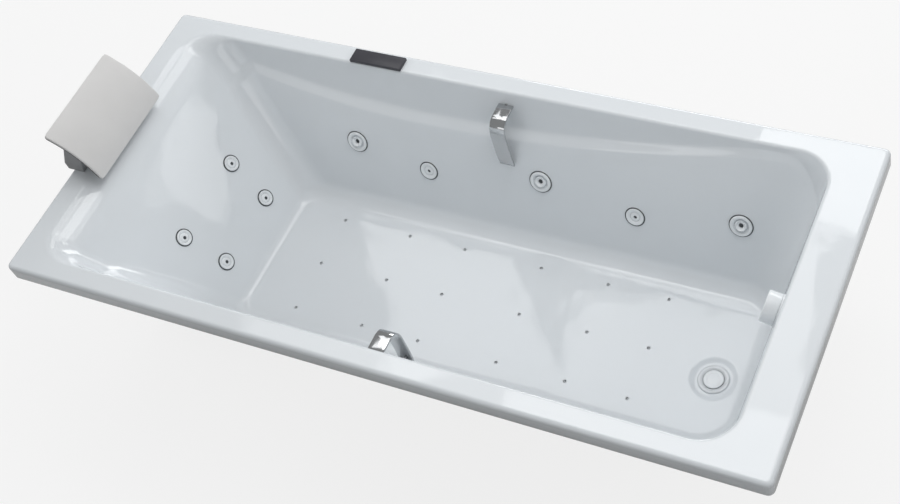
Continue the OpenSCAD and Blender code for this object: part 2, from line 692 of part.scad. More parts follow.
// Steps that crowd towards both edges
function crowd(t) = 0.5 - 0.5 * cos(180 * t) * (0.6 + 0.4 * pow(cos(180 * t), 2));
module headrest_pad() color([0.78, 0.78, 0.77]) {
  n = pad_across + 1;
  m = pad_along + 1;
  top = [for (i = [0:pad_along], j = [0:pad_across]) pad_pt(crowd(i / pad_along), crowd(j / pad_across), 1)];
  low = [for (i = [0:pad_along], j = [0:pad_across]) pad_pt(crowd(i / pad_along), crowd(j / pad_across), -1)];
  edge_t = 1.5;
  lift = function (p, u, s) let (q = pad_normal(u)) p + s * [q[0], 0, q[1]] * edge_t;
  points = concat(
    [for (i = [0:pad_along], j = [0:pad_across]) lift(top[i * n + j], crowd(i / pad_along), 1)],
    [for (i = [0:pad_along], j = [0:pad_across]) lift(low[i * n + j], crowd(i / pad_along), -1)]
  );
  k = n * m;
  border = concat(
    [for (j = [0:n - 2]) j], [for (i = [0:m - 2]) i * n + n - 1],
    [for (j = [n - 1:-1:1]) (m - 1) * n + j], [for (i = [m - 1:-1:1]) i * n]
  );
  at_rim() polyhedron(points, concat(
    [for (i = [0:m - 2], j = [0:n - 2])
      let (a = i * n + j) each [[a, a + n + 1, a + 1], [a, a + n, a + n + 1]]],
    [for (i = [0:m - 2], j = [0:n - 2])
      let (a = k + i * n + j) each [[a, a + 1, a + n + 1], [a, a + n + 1, a + n]]],
    [for (e = [0:len(border) - 1])
      let (a = border[e], b = border[(e + 1) % len(border)]) each [[a, b + k, a + k], [a, b, b + k]]]
  ));
}

// The bracket's two legs rise from feet on the rim to a bent plate under the pad
bracket_t = 4;
function plate_line(o) = [
  for (i = [0:8]) let (u = 0.3 + 0.6 * i / 8, p = pad_mid(u), q = pad_normal(u))
    p - q * (pad_t / 2 + 1.5 + pad_crown + seat + o)
];
module headrest_bracket() color([0.45, 0.45, 0.46]) {
  a = plate_line(0);
  b = plate_line(bracket_t);
  c = plate_line(bracket_t / 2);
  foot_x0 = head_x - bracket_out;
  foot_x1 = pin_x + 16;
  at_rim(0, bracket_y + bracket_w / 2) rotate([90, 0, 0]) linear_extrude(2 * bracket_y + bracket_w)
    polygon(concat(a, [for (i = [len(b) - 1:-1:0]) b[i]]));
  for (side = [-1, 1]) {
    at_rim(0, side * bracket_y + bracket_w / 2) rotate([90, 0, 0]) linear_extrude(bracket_w)
      polygon([[foot_x0, seat], [foot_x1, seat], [foot_x1, 8], for (i = [2:6]) c[i], [foot_x0, 22]]);
    at_rim(pin_x, side * bracket_y, pin_l) cylinder(r = pin_r, h = pin_l + 1);
  }
}

// Waste fittings hang on the dish
waste_r = plug_r - 0.5;
seat_z = basin_d + dish_d;
module drain_flange() color(chrome) at_rim(waste_x, waste_y, seat_z) difference() {
  union() {
    cylinder(r1 = flange_r, r2 = flange_r - 3, h = 3);
    translate([0, 0, -shell_t - 26]) cylinder(r = plug_r + 1.5, h = shell_t + 27);
  }
  translate([0, 0, -shell_t - 27]) cylinder(r = waste_r - 1, h = shell_t + 40);
  translate([0, 0, 1]) cylinder(r = plug_r + 1, h = 5);
}
module waste_body() color(white_plastic) at_rim(waste_x, waste_y, seat_z + shell_t) difference() {
  union() {
    translate([0, 0, -8]) cylinder(r = plug_r + 10, h = 8 - seat);
    translate([0, 0, -80]) cylinder(r = plug_r + 5, h = 80 - seat);
    translate([0, 0, -50]) rotate([0, 90, hose_turn]) cylinder(r = 13, h = waste_port);
  }
  translate([0, 0, -27]) cylinder(r = plug_r + 1.5 + run_gap, h = 30);
  translate([0, 0, -90]) cylinder(r = waste_r - 3, h = 100);
  translate([0, 0, -50]) rotate([0, 90, hose_turn]) cylinder(r = 10, h = waste_port + 1);
}
module drain_plug() color(white_plastic) at_rim(waste_x, waste_y, seat_z) union() {
  translate([0, 0, 1.4]) cylinder(r1 = plug_r, r2 = plug_r - 1, h = 3);
  translate([0, 0, 4.4]) cylinder(r1 = plug_r - 1, r2 = plug_r - 6, h = 1.6);
  translate([0, 0, -30]) cylinder(r = 5, h = 32);
  for (q = [0:120:359]) rotate([0, 0, q]) translate([0, -1, -24]) cube([waste_r - 1.6, 2, 18]);
}
trap_z = rim_h - seat_z - shell_t - 80;
trap_r = 34;
outlet_r = 20;
outlet_l = 90;
module trap() color(white_plastic) translate([tub_x + waste_x, waste_y, 0]) difference() {
  union() {
    translate([0, 0, trap_z - 12 - seat]) cylinder(r = plug_r + 9, h = 12, $fn = 12);
    translate([0, 0, trap_z - 50]) cylinder(r1 = trap_r - 6, r2 = trap_r, h = 6);
    translate([0, 0, trap_z - 44]) cylinder(r = trap_r, h = 34);
    translate([0, 0, trap_z - 26]) rotate([90, 0, 0]) cylinder(r = outlet_r, h = trap_r + outlet_l);
    translate([0, 0, trap_z - 26]) rotate([90, 0, 0]) cylinder(r = outlet_r + 6, h = trap_r + 22);
  }
  translate([0, 0, trap_z - 40]) cylinder(r = waste_r - 3, h = 60);
  translate([0, 0, trap_z - 26]) rotate([90, 0, 0]) cylinder(r = outlet_r - 3, h = trap_r + outlet_l + 1);
}

module overflow_faceplate() color(white_plastic) on_foot(0, overflow_d) difference() {
  union() {
    cylinder(r = knob_r + 1, h = 3);
    translate([0, 0, -shell_t - 20]) cylinder(r = 24, h = shell_t + 21);
  }
  translate([0, 0, -shell_t - 21]) cylinder(r = 6 + run_gap, h = shell_t + 30);
  for (q = [0:45:359]) rotate([0, 0, q]) translate([15, 0, -shell_t - 21]) cylinder(r = 4, h = shell_t + 30);
}
module overflow_knob() color(white_plastic) on_foot(0, overflow_d) difference() {
  union() {
    translate([0, 0, 3 + seat]) cylinder(r = knob_r, h = knob_reach - 5 - seat);
    translate([0, 0, knob_reach - 2]) cylinder(r1 = knob_r, r2 = knob_r - 2, h = 2);
    translate([0, 0, -shell_t - 24]) cylinder(r = 6, h = 40);
  }
  // the water goes in behind the knob's face, through a ring of slots in its skirt
  difference() {
    translate([0, 0, 2]) cylinder(r = knob_r - 5, h = knob_reach - 9);
    cylinder(r = 9, h = knob_reach);
  }
  for (q = [-60:30:60]) rotate([0, 0, 180 + q]) translate([knob_r - 8, -4, 2]) cube([20, 8, 9]);
}
// The hose drops along the foot wall and turns under the floor to the waste's port. It lies in the
// upright plane through the waste and the overflow: u runs outward in it, z up.
hose_r = 13;
hose_line = 27;           // depth of the hose behind the foot wall's surface
hose_bend = 26;
waste_port = 40;
waste_port_z = rim_h - seat_z - shell_t - 50;
hose_top = [foot_x(overflow_d) + hose_line * cos(a_foot), 0, rim_h - overflow_d - hose_line * sin(a_foot)];
hose_turn = atan2(-waste_y, hose_top[0] - waste_x);
hose_run = norm([hose_top[0] - waste_x, waste_y]);
hose_corner_u = hose_run - (hose_top[2] - waste_port_z) * tan(a_foot);
elbow_reach = 50;
module in_hose_plane() {
  translate([tub_x + waste_x, waste_y, 0]) rotate([0, 0, hose_turn]) children();
}
module overflow_elbow() color(white_plastic) difference() {
  union() {
    on_foot(0, overflow_d) translate([0, 0, -shell_t - 40 - seat]) cylinder(r = 31, h = 40);
    in_hose_plane() translate([hose_run, 0, hose_top[2]]) rotate([0, 180 + a_foot, 0])
      cylinder(r = hose_r + 2, h = elbow_reach);
  }
  on_foot(0, overflow_d) translate([0, 0, -shell_t - 34]) cylinder(r = 24 + run_gap, h = 40);
  in_hose_plane() translate([hose_run, 0, hose_top[2]]) rotate([0, 180 + a_foot, 0])
    cylinder(r = hose_r - 3, h = elbow_reach + 1);
}
module overflow_hose() color(grey_plastic) in_hose_plane() {
  l = elbow_reach + seat;
  hose([[hose_run - l * sin(a_foot), 0, hose_top[2] - l * cos(a_foot)],
    [hose_corner_u, 0, waste_port_z], [waste_port + seat, 0, waste_port_z]], hose_bend, hose_r);
}

// A jet's body behind the wall: flange, threaded barrel and closed chamber
module jet_body(r, barrel, socket) difference() {
  union() {
    cylinder(r1 = r, r2 = r - 0.6, h = flange_t);
    translate([0, 0, -barrel_l]) cylinder(r = barrel, h = barrel_l + 1);
    translate([0, 0, -barrel_l - 4]) cylinder(r1 = barrel - 5, r2 = barrel, h = 4);
  }
  translate([0, 0, -socket_d]) cylinder(r = socket, h = socket_d + 5);
}
module side_jet_bodies(side) color(white_plastic) {
  for (i = big) on_side(jet_x[i], jet_d(i), side) jet_body(jet_big_r, big_barrel_r, socket_r);
  for (i = small) on_side(jet_x[i], jet_d(i), side) jet_body(jet_small_r, small_barrel_r, spin_r + run_gap);
  // stubs for the water pipe, from each jet towards its neighbours
  at_rim() for (i = [0:3]) {
    p = side_pt(jet_x[i], jet_d(i), side, -water_line);
    q = side_pt(jet_x[i + 1], jet_d(i + 1), side, -water_line);
    rod(p, q, pipe_r - 3, 0, 10, norm(q - p) - stub_l);
    rod(q, p, pipe_r - 3, 0, 10, norm(q - p) - stub_l);
  }
  at_rim() {
    p = side_pt(jet_x[0], jet_d(0), side, -water_line);
    rod(p, p - [stub_l, 0, 0], pipe_r - 3);
  }
}
module jet_bodies_back() color(white_plastic) {
  for (p = back_jets) on_back(p[0], p[1]) jet_body(jet_back_r, small_barrel_r, spin_r + run_gap);
  at_rim() for (i = [0, 1]) {
    p = back_pt(back_jets[i][0], back_jets[i][1], -water_line);
    q = back_pt(back_jets[i + 2][0], back_jets[i + 2][1], -water_line);
    rod(p, q, pipe_r - 3, 0, 6, norm(q - p) - 30);
    rod(q, p, pipe_r - 3, 0, 6, norm(q - p) - 30);
    // the stub that plugs into the ring main's tee
    stub_x = main_x + pipe_r + 2;
    translate([stub_x, p[1], main_z]) rotate([0, 90, 0])
      cylinder(r = back_stub_r, h = p[0] + 2 - stub_x);
  }
}
module jet_nut(barrel) translate([0, 0, -shell_t - nut_t - seat]) difference() {
  cylinder(r = barrel + 8, h = nut_t, $fn = 8);
  translate([0, 0, -1]) cylinder(r = barrel + run_gap, h = nut_t + 2);
}
module jet_nuts() color(grey_plastic) {
  for (side = [-1, 1]) {
    for (i = big) on_side(jet_x[i], jet_d(i), side) jet_nut(big_barrel_r);
    for (i = small) on_side(jet_x[i], jet_d(i), side) jet_nut(small_barrel_r);
  }
  for (p = back_jets) on_back(p[0], p[1]) jet_nut(small_barrel_r);
}
// The bezel holds a large jet's ball in its spherical seat
module jet_bezels() color(white_plastic) for (side = [-1, 1], i = big)
  on_side(jet_x[i], jet_d(i), side) difference() {
    union() {
      translate([0, 0, flange_t]) cylinder(r = bezel_r, h = bezel_t - 1);
      translate([0, 0, flange_t + bezel_t - 1]) cylinder(r1 = bezel_r, r2 = bezel_r - 2, h = 1);
      translate([0, 0, -14]) cylinder(r = socket_r - run_gap, h = 15 + flange_t);
    }
    translate([0, 0, ball_z]) sphere(r = ball_r + seat);
    translate([0, 0, ball_z]) cylinder(r1 = ball_r - 3, r2 = ball_r, h = 12);
    translate([0, 0, -20]) cylinder(r = ball_r - 4, h = 20);
  }
nozzle_r = 3.6;
module jet_ball(i, side) on_side(jet_x[i], jet_d(i), side) translate([0, 0, ball_z])
  rotate([-side * ball_rest, 0, 0]) color(white_plastic) difference() {
    union() {
      intersection() {
        sphere(r = ball_r);
        translate([0, 0, -ball_r + 4]) cylinder(r = ball_r, h = 2 * ball_r - 7);
      }
      cylinder(r1 = 8.5, r2 = 7, h = ball_r - 0.5);
    }
    translate([0, 0, -ball_r]) cylinder(r = nozzle_r, h = 2 * ball_r + 2);
    translate([0, 0, ball_r - 4]) cylinder(r1 = nozzle_r, r2 = nozzle_r + 1.6, h = 4);
  }
// A small jet's nozzle disc has its outlet off the axis and spins on the water
module jet_spinner() color(white_plastic) difference() {
  union() {
    translate([0, 0, -14]) cylinder(r = spin_r, h = 15);
    translate([0, 0, 1]) cylinder(r1 = spin_r, r2 = spin_r - 3, h = 2);
  }
  translate([3, 0, -20]) cylinder(r = 2.6, h = 30);
  translate([3, 0, 1.6]) cylinder(r1 = 2.6, r2 = 3.8, h = 2);
}

module jet_water_pipes() color(white_plastic) at_rim() for (side = [-1, 1], i = [0:3]) {
  p = side_pt(jet_x[i], jet_d(i), side, -water_line);
  q = side_pt(jet_x[i + 1], jet_d(i + 1), side, -water_line);
  rod(p, q, pipe_r, pipe_r - 3 + seat, big_barrel_r + 2, big_barrel_r + 2);
}

// The ring main runs from the first jet of one side, behind the backrest, to the other side.
// Tees on it take the stubs of the upper back jets.
main_x = pump_x;
main_bend = 40;
main_y = side_pt(0, jet_upper_d, 1, -water_line)[1];
main_z = side_pt(0, jet_upper_d, 1, -water_line)[2];
tee_r = 11;
tee_l = 26;
back_stub_r = 8;
main_port_z = pump_z + pump_r + 40 - rim_h;
module ring_main() color(white_plastic) at_rim() difference() {
  union() {
    for (side = [-1, 1]) {
      translate([main_x + main_bend, side * main_y, main_z]) rotate([0, 90, 0])
        cylinder(r = pipe_r, h = jet_x[0] - big_barrel_r - 2 - main_x - main_bend);
      translate([main_x + main_bend, side * (main_y - main_bend), main_z])
        rotate([0, 0, side > 0 ? 90 : 180]) rotate_extrude(angle = 90)
          translate([main_bend, 0]) circle(pipe_r);
      translate([main_x, side * back_jet_upper_y, main_z]) rotate([0, 90, 0])
        cylinder(r = tee_r, h = tee_l);
    }
    translate([main_x, main_y - main_bend, main_z]) rotate([90, 0, 0])
      cylinder(r = pipe_r, h = 2 * (main_y - main_bend));
    translate([main_x, casing_y, main_port_z]) cylinder(r = pipe_r - 1, h = main_z - main_port_z);
    translate([main_x, casing_y, main_port_z]) cylinder(r = 30, h = 22, $fn = 8);
  }
  for (side = [-1, 1]) {
    translate([jet_x[0] - stub_l - 2, side * main_y, main_z]) rotate([0, 90, 0])
      cylinder(r = pipe_r - 3 + seat, h = stub_l);
    translate([main_x + pipe_r, side * back_jet_upper_y, main_z]) rotate([0, 90, 0])
      cylinder(r = back_stub_r + seat, h = tee_l);
  }
}
module back_jet_pipes() color(white_plastic) at_rim() for (i = [0, 1]) {
  p = back_pt(back_jets[i][0], back_jets[i][1], -water_line);
  q = back_pt(back_jets[i + 2][0], back_jets[i + 2][1], -water_line);
  rod(p, q, pipe_r, pipe_r - 3 + seat, small_barrel_r + 2, small_barrel_r + 2);
}

cover_r = 46;
suction_port = 42;
module suction_body() color(white_plastic) on_side(suction_x, suction_d, -1) difference() {
  union() {
    cylinder(r = cover_r - 2, h = 2);
    translate([0, 0, -48]) cylinder(r = 30, h = 49);
    translate([0, 0, -48]) cylinder(r = 38, h = 48 - shell_t - seat);
    translate([0, 0, -suction_line]) rotate([-90, 0, 0]) cylinder(r = suction_r - 4, h = suction_port);
  }
  translate([0, 0, -44]) cylinder(r = 26, h = 50);
  translate([0, 0, -suction_line]) rotate([-90, 0, 0]) cylinder(r = suction_r - 7, h = suction_port + 1);
}
module suction_cover() color(white_plastic) on_side(suction_x, suction_d, -1)
translate([0, 0, 2]) difference() {
  union() {
    cylinder(r = cover_r, h = 5);
    translate([0, 0, 5]) cylinder(r1 = cover_r, r2 = cover_r - 5, h = 3);
  }
  translate([0, 0, -1]) cylinder(r = cover_r - 4, h = 5);
  for (ring = [1:3], q = [0:30 / ring:359]) rotate([0, 0, q]) translate([10 * ring + 2, 0, 0])
    cylinder(r = 2, h = 12, $fn = 16);
  for (s = [-1, 1]) translate([s * 6, 0, 0]) cylinder(r = 2, h = 12, $fn = 16);
}
// The suction pipe goes down behind the near wall, along under it to the head end, and across to
// the pump's inlet
suction_bend = 40;
suction_low = rim_h + side_pt(0, suction_d, -1, -suction_line)[2] - pump_z;
suction_run = suction_low / cos(a_side);
suction_y = side_pt(0, suction_d, -1, -suction_line)[1] + suction_run * sin(a_side);
module suction_pipe() color(white_plastic) {
  port = side_pt(suction_x, suction_d, -1, -suction_line) + [0, 0, rim_h];
  l = suction_port + seat;
  inlet_y = casing_y - casing_w / 2 - 34 - seat;
  translate([tub_x, 0, 0]) hose([port + l * [0, sin(a_side), -cos(a_side)],
    [suction_x, suction_y, pump_z], [pump_x, suction_y, pump_z], [pump_x, inlet_y, pump_z]],
    suction_bend, suction_r - 4);
}

// The pump lies with its shaft along Y, wet end towards -Y
module pump_axis(y) translate([tub_x + pump_x, y, pump_z]) rotate([-90, 0, 0]) children();
module pump_casing() color(dark_plastic) difference() {
  union() {
    pump_axis(casing_y - casing_w / 2) {
      cylinder(r1 = pump_r - 6, r2 = pump_r, h = 8);
      translate([0, 0, 8]) cylinder(r = pump_r, h = casing_w - 8);
      translate([0, 0, casing_w / 2]) cylinder(r = pump_r + 4, h = 8);
      translate([0, 0, -34]) cylinder(r = suction_r + 3, h = 36);
      translate([0, 0, -30]) cylinder(r = suction_r + 10, h = 18, $fn = 8);
    }
    translate([tub_x + pump_x, casing_y, pump_z]) cylinder(r = 20, h = pump_r + 40 - seat);
    translate([tub_x + pump_x - 45, casing_y - 22, tray_z + seat]) cube([90, 44, 24]);
  }
  pump_axis(casing_y - casing_w / 2 + 8) cylinder(r = pump_r - 8, h = casing_w - 16);
  pump_axis(casing_y - casing_w / 2 - 40) cylinder(r = suction_r - 3, h = 60);
  pump_axis(casing_y) cylinder(r = shaft_r + run_gap, h = casing_w);
  translate([tub_x + pump_x, casing_y, pump_z + pump_r - 20]) cylinder(r = 16, h = 80);
}
motor_y = casing_y + casing_w / 2 + seat;
module pump_motor() color([0.35, 0.37, 0.4]) difference() {
  union() {
    pump_axis(motor_y) {
      cylinder(r = motor_r + 6, h = 10);
      cylinder(r = motor_r - 6, h = motor_l - 30);
      for (q = [0:15:359]) rotate([0, 0, q]) translate([motor_r - 8, -1.2, 10]) cube([8, 2.4, motor_l - 45]);
      translate([0, 0, motor_l - 40]) cylinder(r = motor_r, h = 34);
      translate([0, 0, motor_l - 6]) cylinder(r1 = motor_r, r2 = motor_r - 6, h = 6);
    }
    translate([tub_x + pump_x - 40, motor_y + 40, pump_z + motor_r - 14]) cube([80, 70, 30]);
    for (y = [30, motor_l - 60]) translate([tub_x + pump_x - 50, motor_y + y, tray_z + seat])
      cube([100, 20, pump_z - tray_z - motor_r / 2]);
  }
  pump_axis(motor_y - 1) cylinder(r = shaft_r + run_gap, h = 41);
  pump_axis(motor_y + motor_l - 3) for (q = [0:30:359], r = [18, 32, 46])
    rotate([0, 0, q]) translate([r, 0, 0]) cylinder(r = 2.4, h = 6, $fn = 16);
}
module pump_impeller() color(grey_plastic) {
  pump_axis(casing_y - casing_w / 2 + 30) {
    cylinder(r = impeller_r, h = 4);
    for (q = [0:60:359]) rotate([0, 0, q]) linear_extrude(16) difference() {
      translate([impeller_r / 2, 0]) circle(impeller_r / 2);
      translate([impeller_r / 2 + 1.5, 2]) circle(impeller_r / 2);
      translate([-impeller_r, -2 * impeller_r]) square(2 * impeller_r);
    }
    cylinder(r = shaft_r, h = motor_y - casing_y + casing_w / 2 + 8);
  }
}

blower_outlet = 16;
module blower_casing() color(dark_plastic)
translate([tub_x + blower_x, blower_y, shelf_z + seat]) difference() {
  union() {
    cylinder(r = blower_r, h = blower_h);
    translate([0, 0, blower_h]) cylinder(r1 = blower_r, r2 = blower_r - 8, h = 6);
    translate([0, 0, 10]) cylinder(r = blower_r + blower_band, h = 6);
    translate([0, 0, blower_h + 5]) cylinder(r = blower_outlet + 3, h = 24);
  }
  translate([0, 0, 45]) cylinder(r = blower_r - 6, h = blower_h - 51);
  translate([0, 0, 60]) cylinder(r = blower_outlet - 3, h = blower_h);
  translate([0, 0, 10]) cylinder(r = 4 + run_gap, h = 60);
  for (q = [0:20:359]) rotate([0, 0, q]) translate([blower_r - 10, -2, 54]) cube([20, 4, 18]);
}
module blower_fan() color(grey_plastic) translate([tub_x + blower_x, blower_y, shelf_z + seat]) {
  translate([0, 0, 14]) cylinder(r = 4, h = 50);
  translate([0, 0, 52]) cylinder(r = fan_r, h = 4);
  for (q = [0:30:359]) rotate([0, 0, q]) translate([fan_r - 18, -1, 55]) cube([17.5, 2, 24]);
  translate([0, 0, 50]) cylinder(r = 9, h = 16);
}

module control_box() color([0.7, 0.71, 0.72]) translate([tub_x + box_x, box_y, shelf_z + seat]) union() {
  translate([-box_l / 2, -box_w / 2, 0]) cube([box_l, box_w, box_h - 12]);
  translate([-box_l / 2 - 2, -box_w / 2 - 2, box_h - 12]) cube([box_l + 4, box_w + 4, 12]);
  for (x = [-60:30:60]) translate([x, box_w / 2 - 2, 40]) rotate([-90, 0, 0]) {
    cylinder(r = 9, h = 8, $fn = 6);
    cylinder(r = 7, h = 16);
  }
}

stem_r = 3;
module air_injectors() color(white_plastic) for (x = air_x, y = air_y) at_rim(x, y, basin_d) difference() {
  union() {
    cylinder(r1 = air_head_r, r2 = air_head_r - 0.6, h = 1.2, $fn = 32);
    translate([0, 0, -shell_t - board_t - 4]) cylinder(r = stem_r, h = shell_t + board_t + 5, $fn = 32);
    translate([0, 0, -shell_t - 8 - seat]) cylinder(r = 8, h = 8, $fn = 6);
  }
  translate([0, 0, -shell_t - board_t - 5]) cylinder(r = 1.8, h = shell_t + board_t + 10, $fn = 24);
}
// The blower's air climbs over a loop, as high as the lean of the far wall leaves room for, before
// it goes down to the header
module air_pipes() color(white_plastic) {
  stem_low = floor_z - board_t - 4 - seat;
  riser_r = blower_outlet;
  bend_r = 40;
  wall_gap = 5;
  highest_d = (side_y(0, shell_t) - blower_y + riser_r + wall_gap) / s_side;
  loop_top = rim_h - highest_d - riser_r - bend_r;
  for (y = air_y) {
    translate([tub_x + air_x[0] - 25, y, air_z]) rotate([0, 90, 0])
      cylinder(r = air_pipe_r, h = header_x - air_x[0] + 25);
    for (x = air_x) translate([tub_x + x, y, air_z]) cylinder(r = 8, h = stem_low - air_z);
  }
  translate([tub_x + header_x, 0, air_z]) {
    translate([0, -air_row_y - 20, 0]) rotate([-90, 0, 0])
      cylinder(r = riser_r, h = blower_y - bend_r + air_row_y + 20);
    translate([0, blower_y - bend_r, bend_r]) rotate([90, 0, 90]) rotate([0, 0, -90])
      rotate_extrude(angle = 90) translate([bend_r, 0]) circle(riser_r);
    translate([0, blower_y, bend_r]) cylinder(r = riser_r, h = loop_top - air_z - bend_r);
  }
  translate([tub_x + header_x - bend_r, blower_y, loop_top]) rotate([90, 0, 0])
    rotate_extrude(angle = 180) translate([bend_r, 0]) circle(riser_r);
  translate([tub_x + blower_x, blower_y, shelf_z + blower_h + 29 + 2 * seat])
    cylinder(r = riser_r, h = loop_top - shelf_z - blower_h - 29 - 2 * seat);
}

tub_shell();
base_board();
rim_battens();
frame_rails();
frame_cross_rails();
frame_posts();
equipment_trays();
levelling_foot(0);  // foot_1
levelling_foot(1);  // foot_2
levelling_foot(2);  // foot_3
levelling_foot(3);  // foot_4
foot_lock_nuts();
wall_brackets();
control_panel();
grip(1);  // grip_far
grip(-1);  // grip_near
grip_nuts();
headrest_pad();
headrest_bracket();
drain_flange();
waste_body();
drain_plug();
trap();
overflow_faceplate();
overflow_knob();
overflow_elbow();
overflow_hose();
side_jet_bodies(1);  // jet_bodies_far
side_jet_bodies(-1);  // jet_bodies_near
jet_bodies_back();
jet_nuts();
jet_bezels();
jet_ball(big[0], 1);  // jet_ball_1
jet_ball(big[1], 1);  // jet_ball_2
jet_ball(big[2], 1);  // jet_ball_3
jet_ball(big[0], -1);  // jet_ball_4
jet_ball(big[1], -1);  // jet_ball_5
jet_ball(big[2], -1);  // jet_ball_6
on_side(jet_x[1], jet_d(1), 1) jet_spinner();  // jet_spinner_1
on_side(jet_x[3], jet_d(3), 1) jet_spinner();  // jet_spinner_2
on_side(jet_x[1], jet_d(1), -1) jet_spinner();  // jet_spinner_3
on_side(jet_x[3], jet_d(3), -1) jet_spinner();  // jet_spinner_4
on_back(back_jets[0][0], back_jets[0][1]) jet_spinner();  // jet_spinner_5
on_back(back_jets[1][0], back_jets[1][1]) jet_spinner();  // jet_spinner_6
on_back(back_jets[2][0], back_jets[2][1]) jet_spinner();  // jet_spinner_7
on_back(back_jets[3][0], back_jets[3][1]) jet_spinner();  // jet_spinner_8
jet_water_pipes();
back_jet_pipes();
ring_main();
suction_body();
suction_cover();
suction_pipe();
pump_casing();
pump_motor();
pump_impeller();
blower_casing();
blower_fan();
control_box();
air_injectors();
air_pipes();
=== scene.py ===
"""Dresses the jetted bathtub: a smooth shell, its fittings, the headrest, finishes, light and camera."""

import math

import bpy
from mathutils import Matrix, Vector


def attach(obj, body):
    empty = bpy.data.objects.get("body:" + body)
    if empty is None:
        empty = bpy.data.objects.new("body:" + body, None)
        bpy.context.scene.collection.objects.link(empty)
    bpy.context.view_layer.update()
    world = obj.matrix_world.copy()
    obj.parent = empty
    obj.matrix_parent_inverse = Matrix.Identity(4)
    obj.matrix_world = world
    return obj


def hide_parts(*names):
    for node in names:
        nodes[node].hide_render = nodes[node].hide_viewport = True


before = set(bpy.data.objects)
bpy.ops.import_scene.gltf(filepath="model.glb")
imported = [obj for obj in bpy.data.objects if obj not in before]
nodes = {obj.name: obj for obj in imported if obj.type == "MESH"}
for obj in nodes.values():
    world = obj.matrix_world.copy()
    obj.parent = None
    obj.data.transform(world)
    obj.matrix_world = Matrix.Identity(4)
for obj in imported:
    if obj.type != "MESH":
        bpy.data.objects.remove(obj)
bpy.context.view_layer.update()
MM = 0.001

# Main sizes of the bath in millimetres, as in the part's own frame
LENGTH = 1800
WIDTH = 800
RIM_TOP = 560
DEPTH = 362
WALL = 6
SKIRT = 42
RIM_SIDE = 50
RIM_FOOT = 100
RIM_HEAD = 95
LEAN_SIDE = 147 / DEPTH
LEAN_FOOT = 94 / DEPTH
LEAN_BACK = 257 / DEPTH
EDGE_R = 9
BACK_ROLL_R = 110
CORNER_FOOT = 80
CORNER_HEAD = 62
CORNER_OUT = 14
SKIRT_EDGE = 1.4
ARM_DEPTH = 98
ARM_X = -200
ARM_REACH_FOOT = 900
ARM_REACH_HEAD = 700
ARM_STEP = 24
ARM_LEAN = 0.27
SHIFT_X = 6
WASTE = (624, -33)
JET_X = (-386, -189, 112, 349, 601)
JET_UPPER = 202
JET_LOWER = 238
BACK_JETS = ((116, 191), (-116, 191), (100, 289), (-100, 289))
AIR_X = (-407, -221, -69, 136, 308, 459)
AIR_Y = (-134, 0, 134)
OVERFLOW_DEPTH = 66
DISH_R = 57
DISH_DEPTH = 5
DISH_CURVE = ((39, DISH_DEPTH), (41.5, 4.85), (44, 4.3), (47, 3.1), (50, 1.75), (52.5, 0.8), (55, 0.2))
WASTE_HOLE_R = 24.5
WASTE_BOSS_R = 58

# Radii of the jets' seals and of the holes that the jets and nozzles stand in
BIG_JET_R = 29
SMALL_JET_R = 25
BACK_JET_R = 22
BIG_HOLE_R = 22.5
SMALL_HOLE_R = 16.5
AIR_HOLE_R = 3.5
BALL_R = 15
BALL_SINK = 3
BALL_TILT = 10

# Touch panel and grips
PANEL_X = -311
PANEL_IN = 13
PANEL_SIZE = (137, 38, 8)
PANEL_NECK_IN = 26
PLATE_SIZE = (131.5, 32.5, 1.1)
PLATE_MIDDLE = 7.4
GRIP_X = 30
GRIP_WIDTH = 38
GRIP_THICKNESS = 5
GRIP_EDGE = 1.3
GRIP_TOP = 34
GRIP_BOTTOM = 172
GRIP_REACH = 76


# Small modelling helpers

def pick(*objs):
    """Selects these objects alone and makes the first one active."""
    if bpy.context.object and bpy.context.object.mode != "OBJECT":
        bpy.ops.object.mode_set(mode="OBJECT")
    bpy.ops.object.select_all(action="DESELECT")
    for obj in objs:
        obj.select_set(True)
    bpy.context.view_layer.objects.active = objs[0]


def edit(obj):
    """Opens a piece in edit mode with all of it selected."""
    pick(obj)
    bpy.ops.object.mode_set(mode="EDIT")
    bpy.ops.mesh.select_all(action="SELECT")


def done():
    """Leaves edit mode."""
    bpy.ops.object.mode_set(mode="OBJECT")


def face_out(obj):
    """Turns every face of a closed piece outwards."""
    edit(obj)
    bpy.ops.mesh.normals_make_consistent(inside=False)
    done()


def stand(obj, place):
    """Sets a piece in its place and keeps the place in its mesh."""
    obj.matrix_world = place
    pick(obj)
    bpy.ops.object.transform_apply(location=True, rotation=True, scale=True)
    return obj


def apply(obj, name, kind, **values):
    """Adds one modifier with these values and applies it."""
    modifier = obj.modifiers.new(name, kind)
    for key, value in values.items():
        setattr(modifier, key, value)
    pick(obj)
    bpy.ops.object.modifier_apply(modifier=modifier.name)


def twin(obj, name):
    """A copy of a piece with its own mesh."""
    copy = obj.copy()
    copy.data = obj.data.copy()
    copy.name = name
    bpy.context.scene.collection.objects.link(copy)
    return copy


def joined(name, *objs):
    """Joins pieces into the first one."""
    pick(*objs)
    bpy.ops.object.join()
    piece = bpy.context.object
    piece.name = name
    return piece


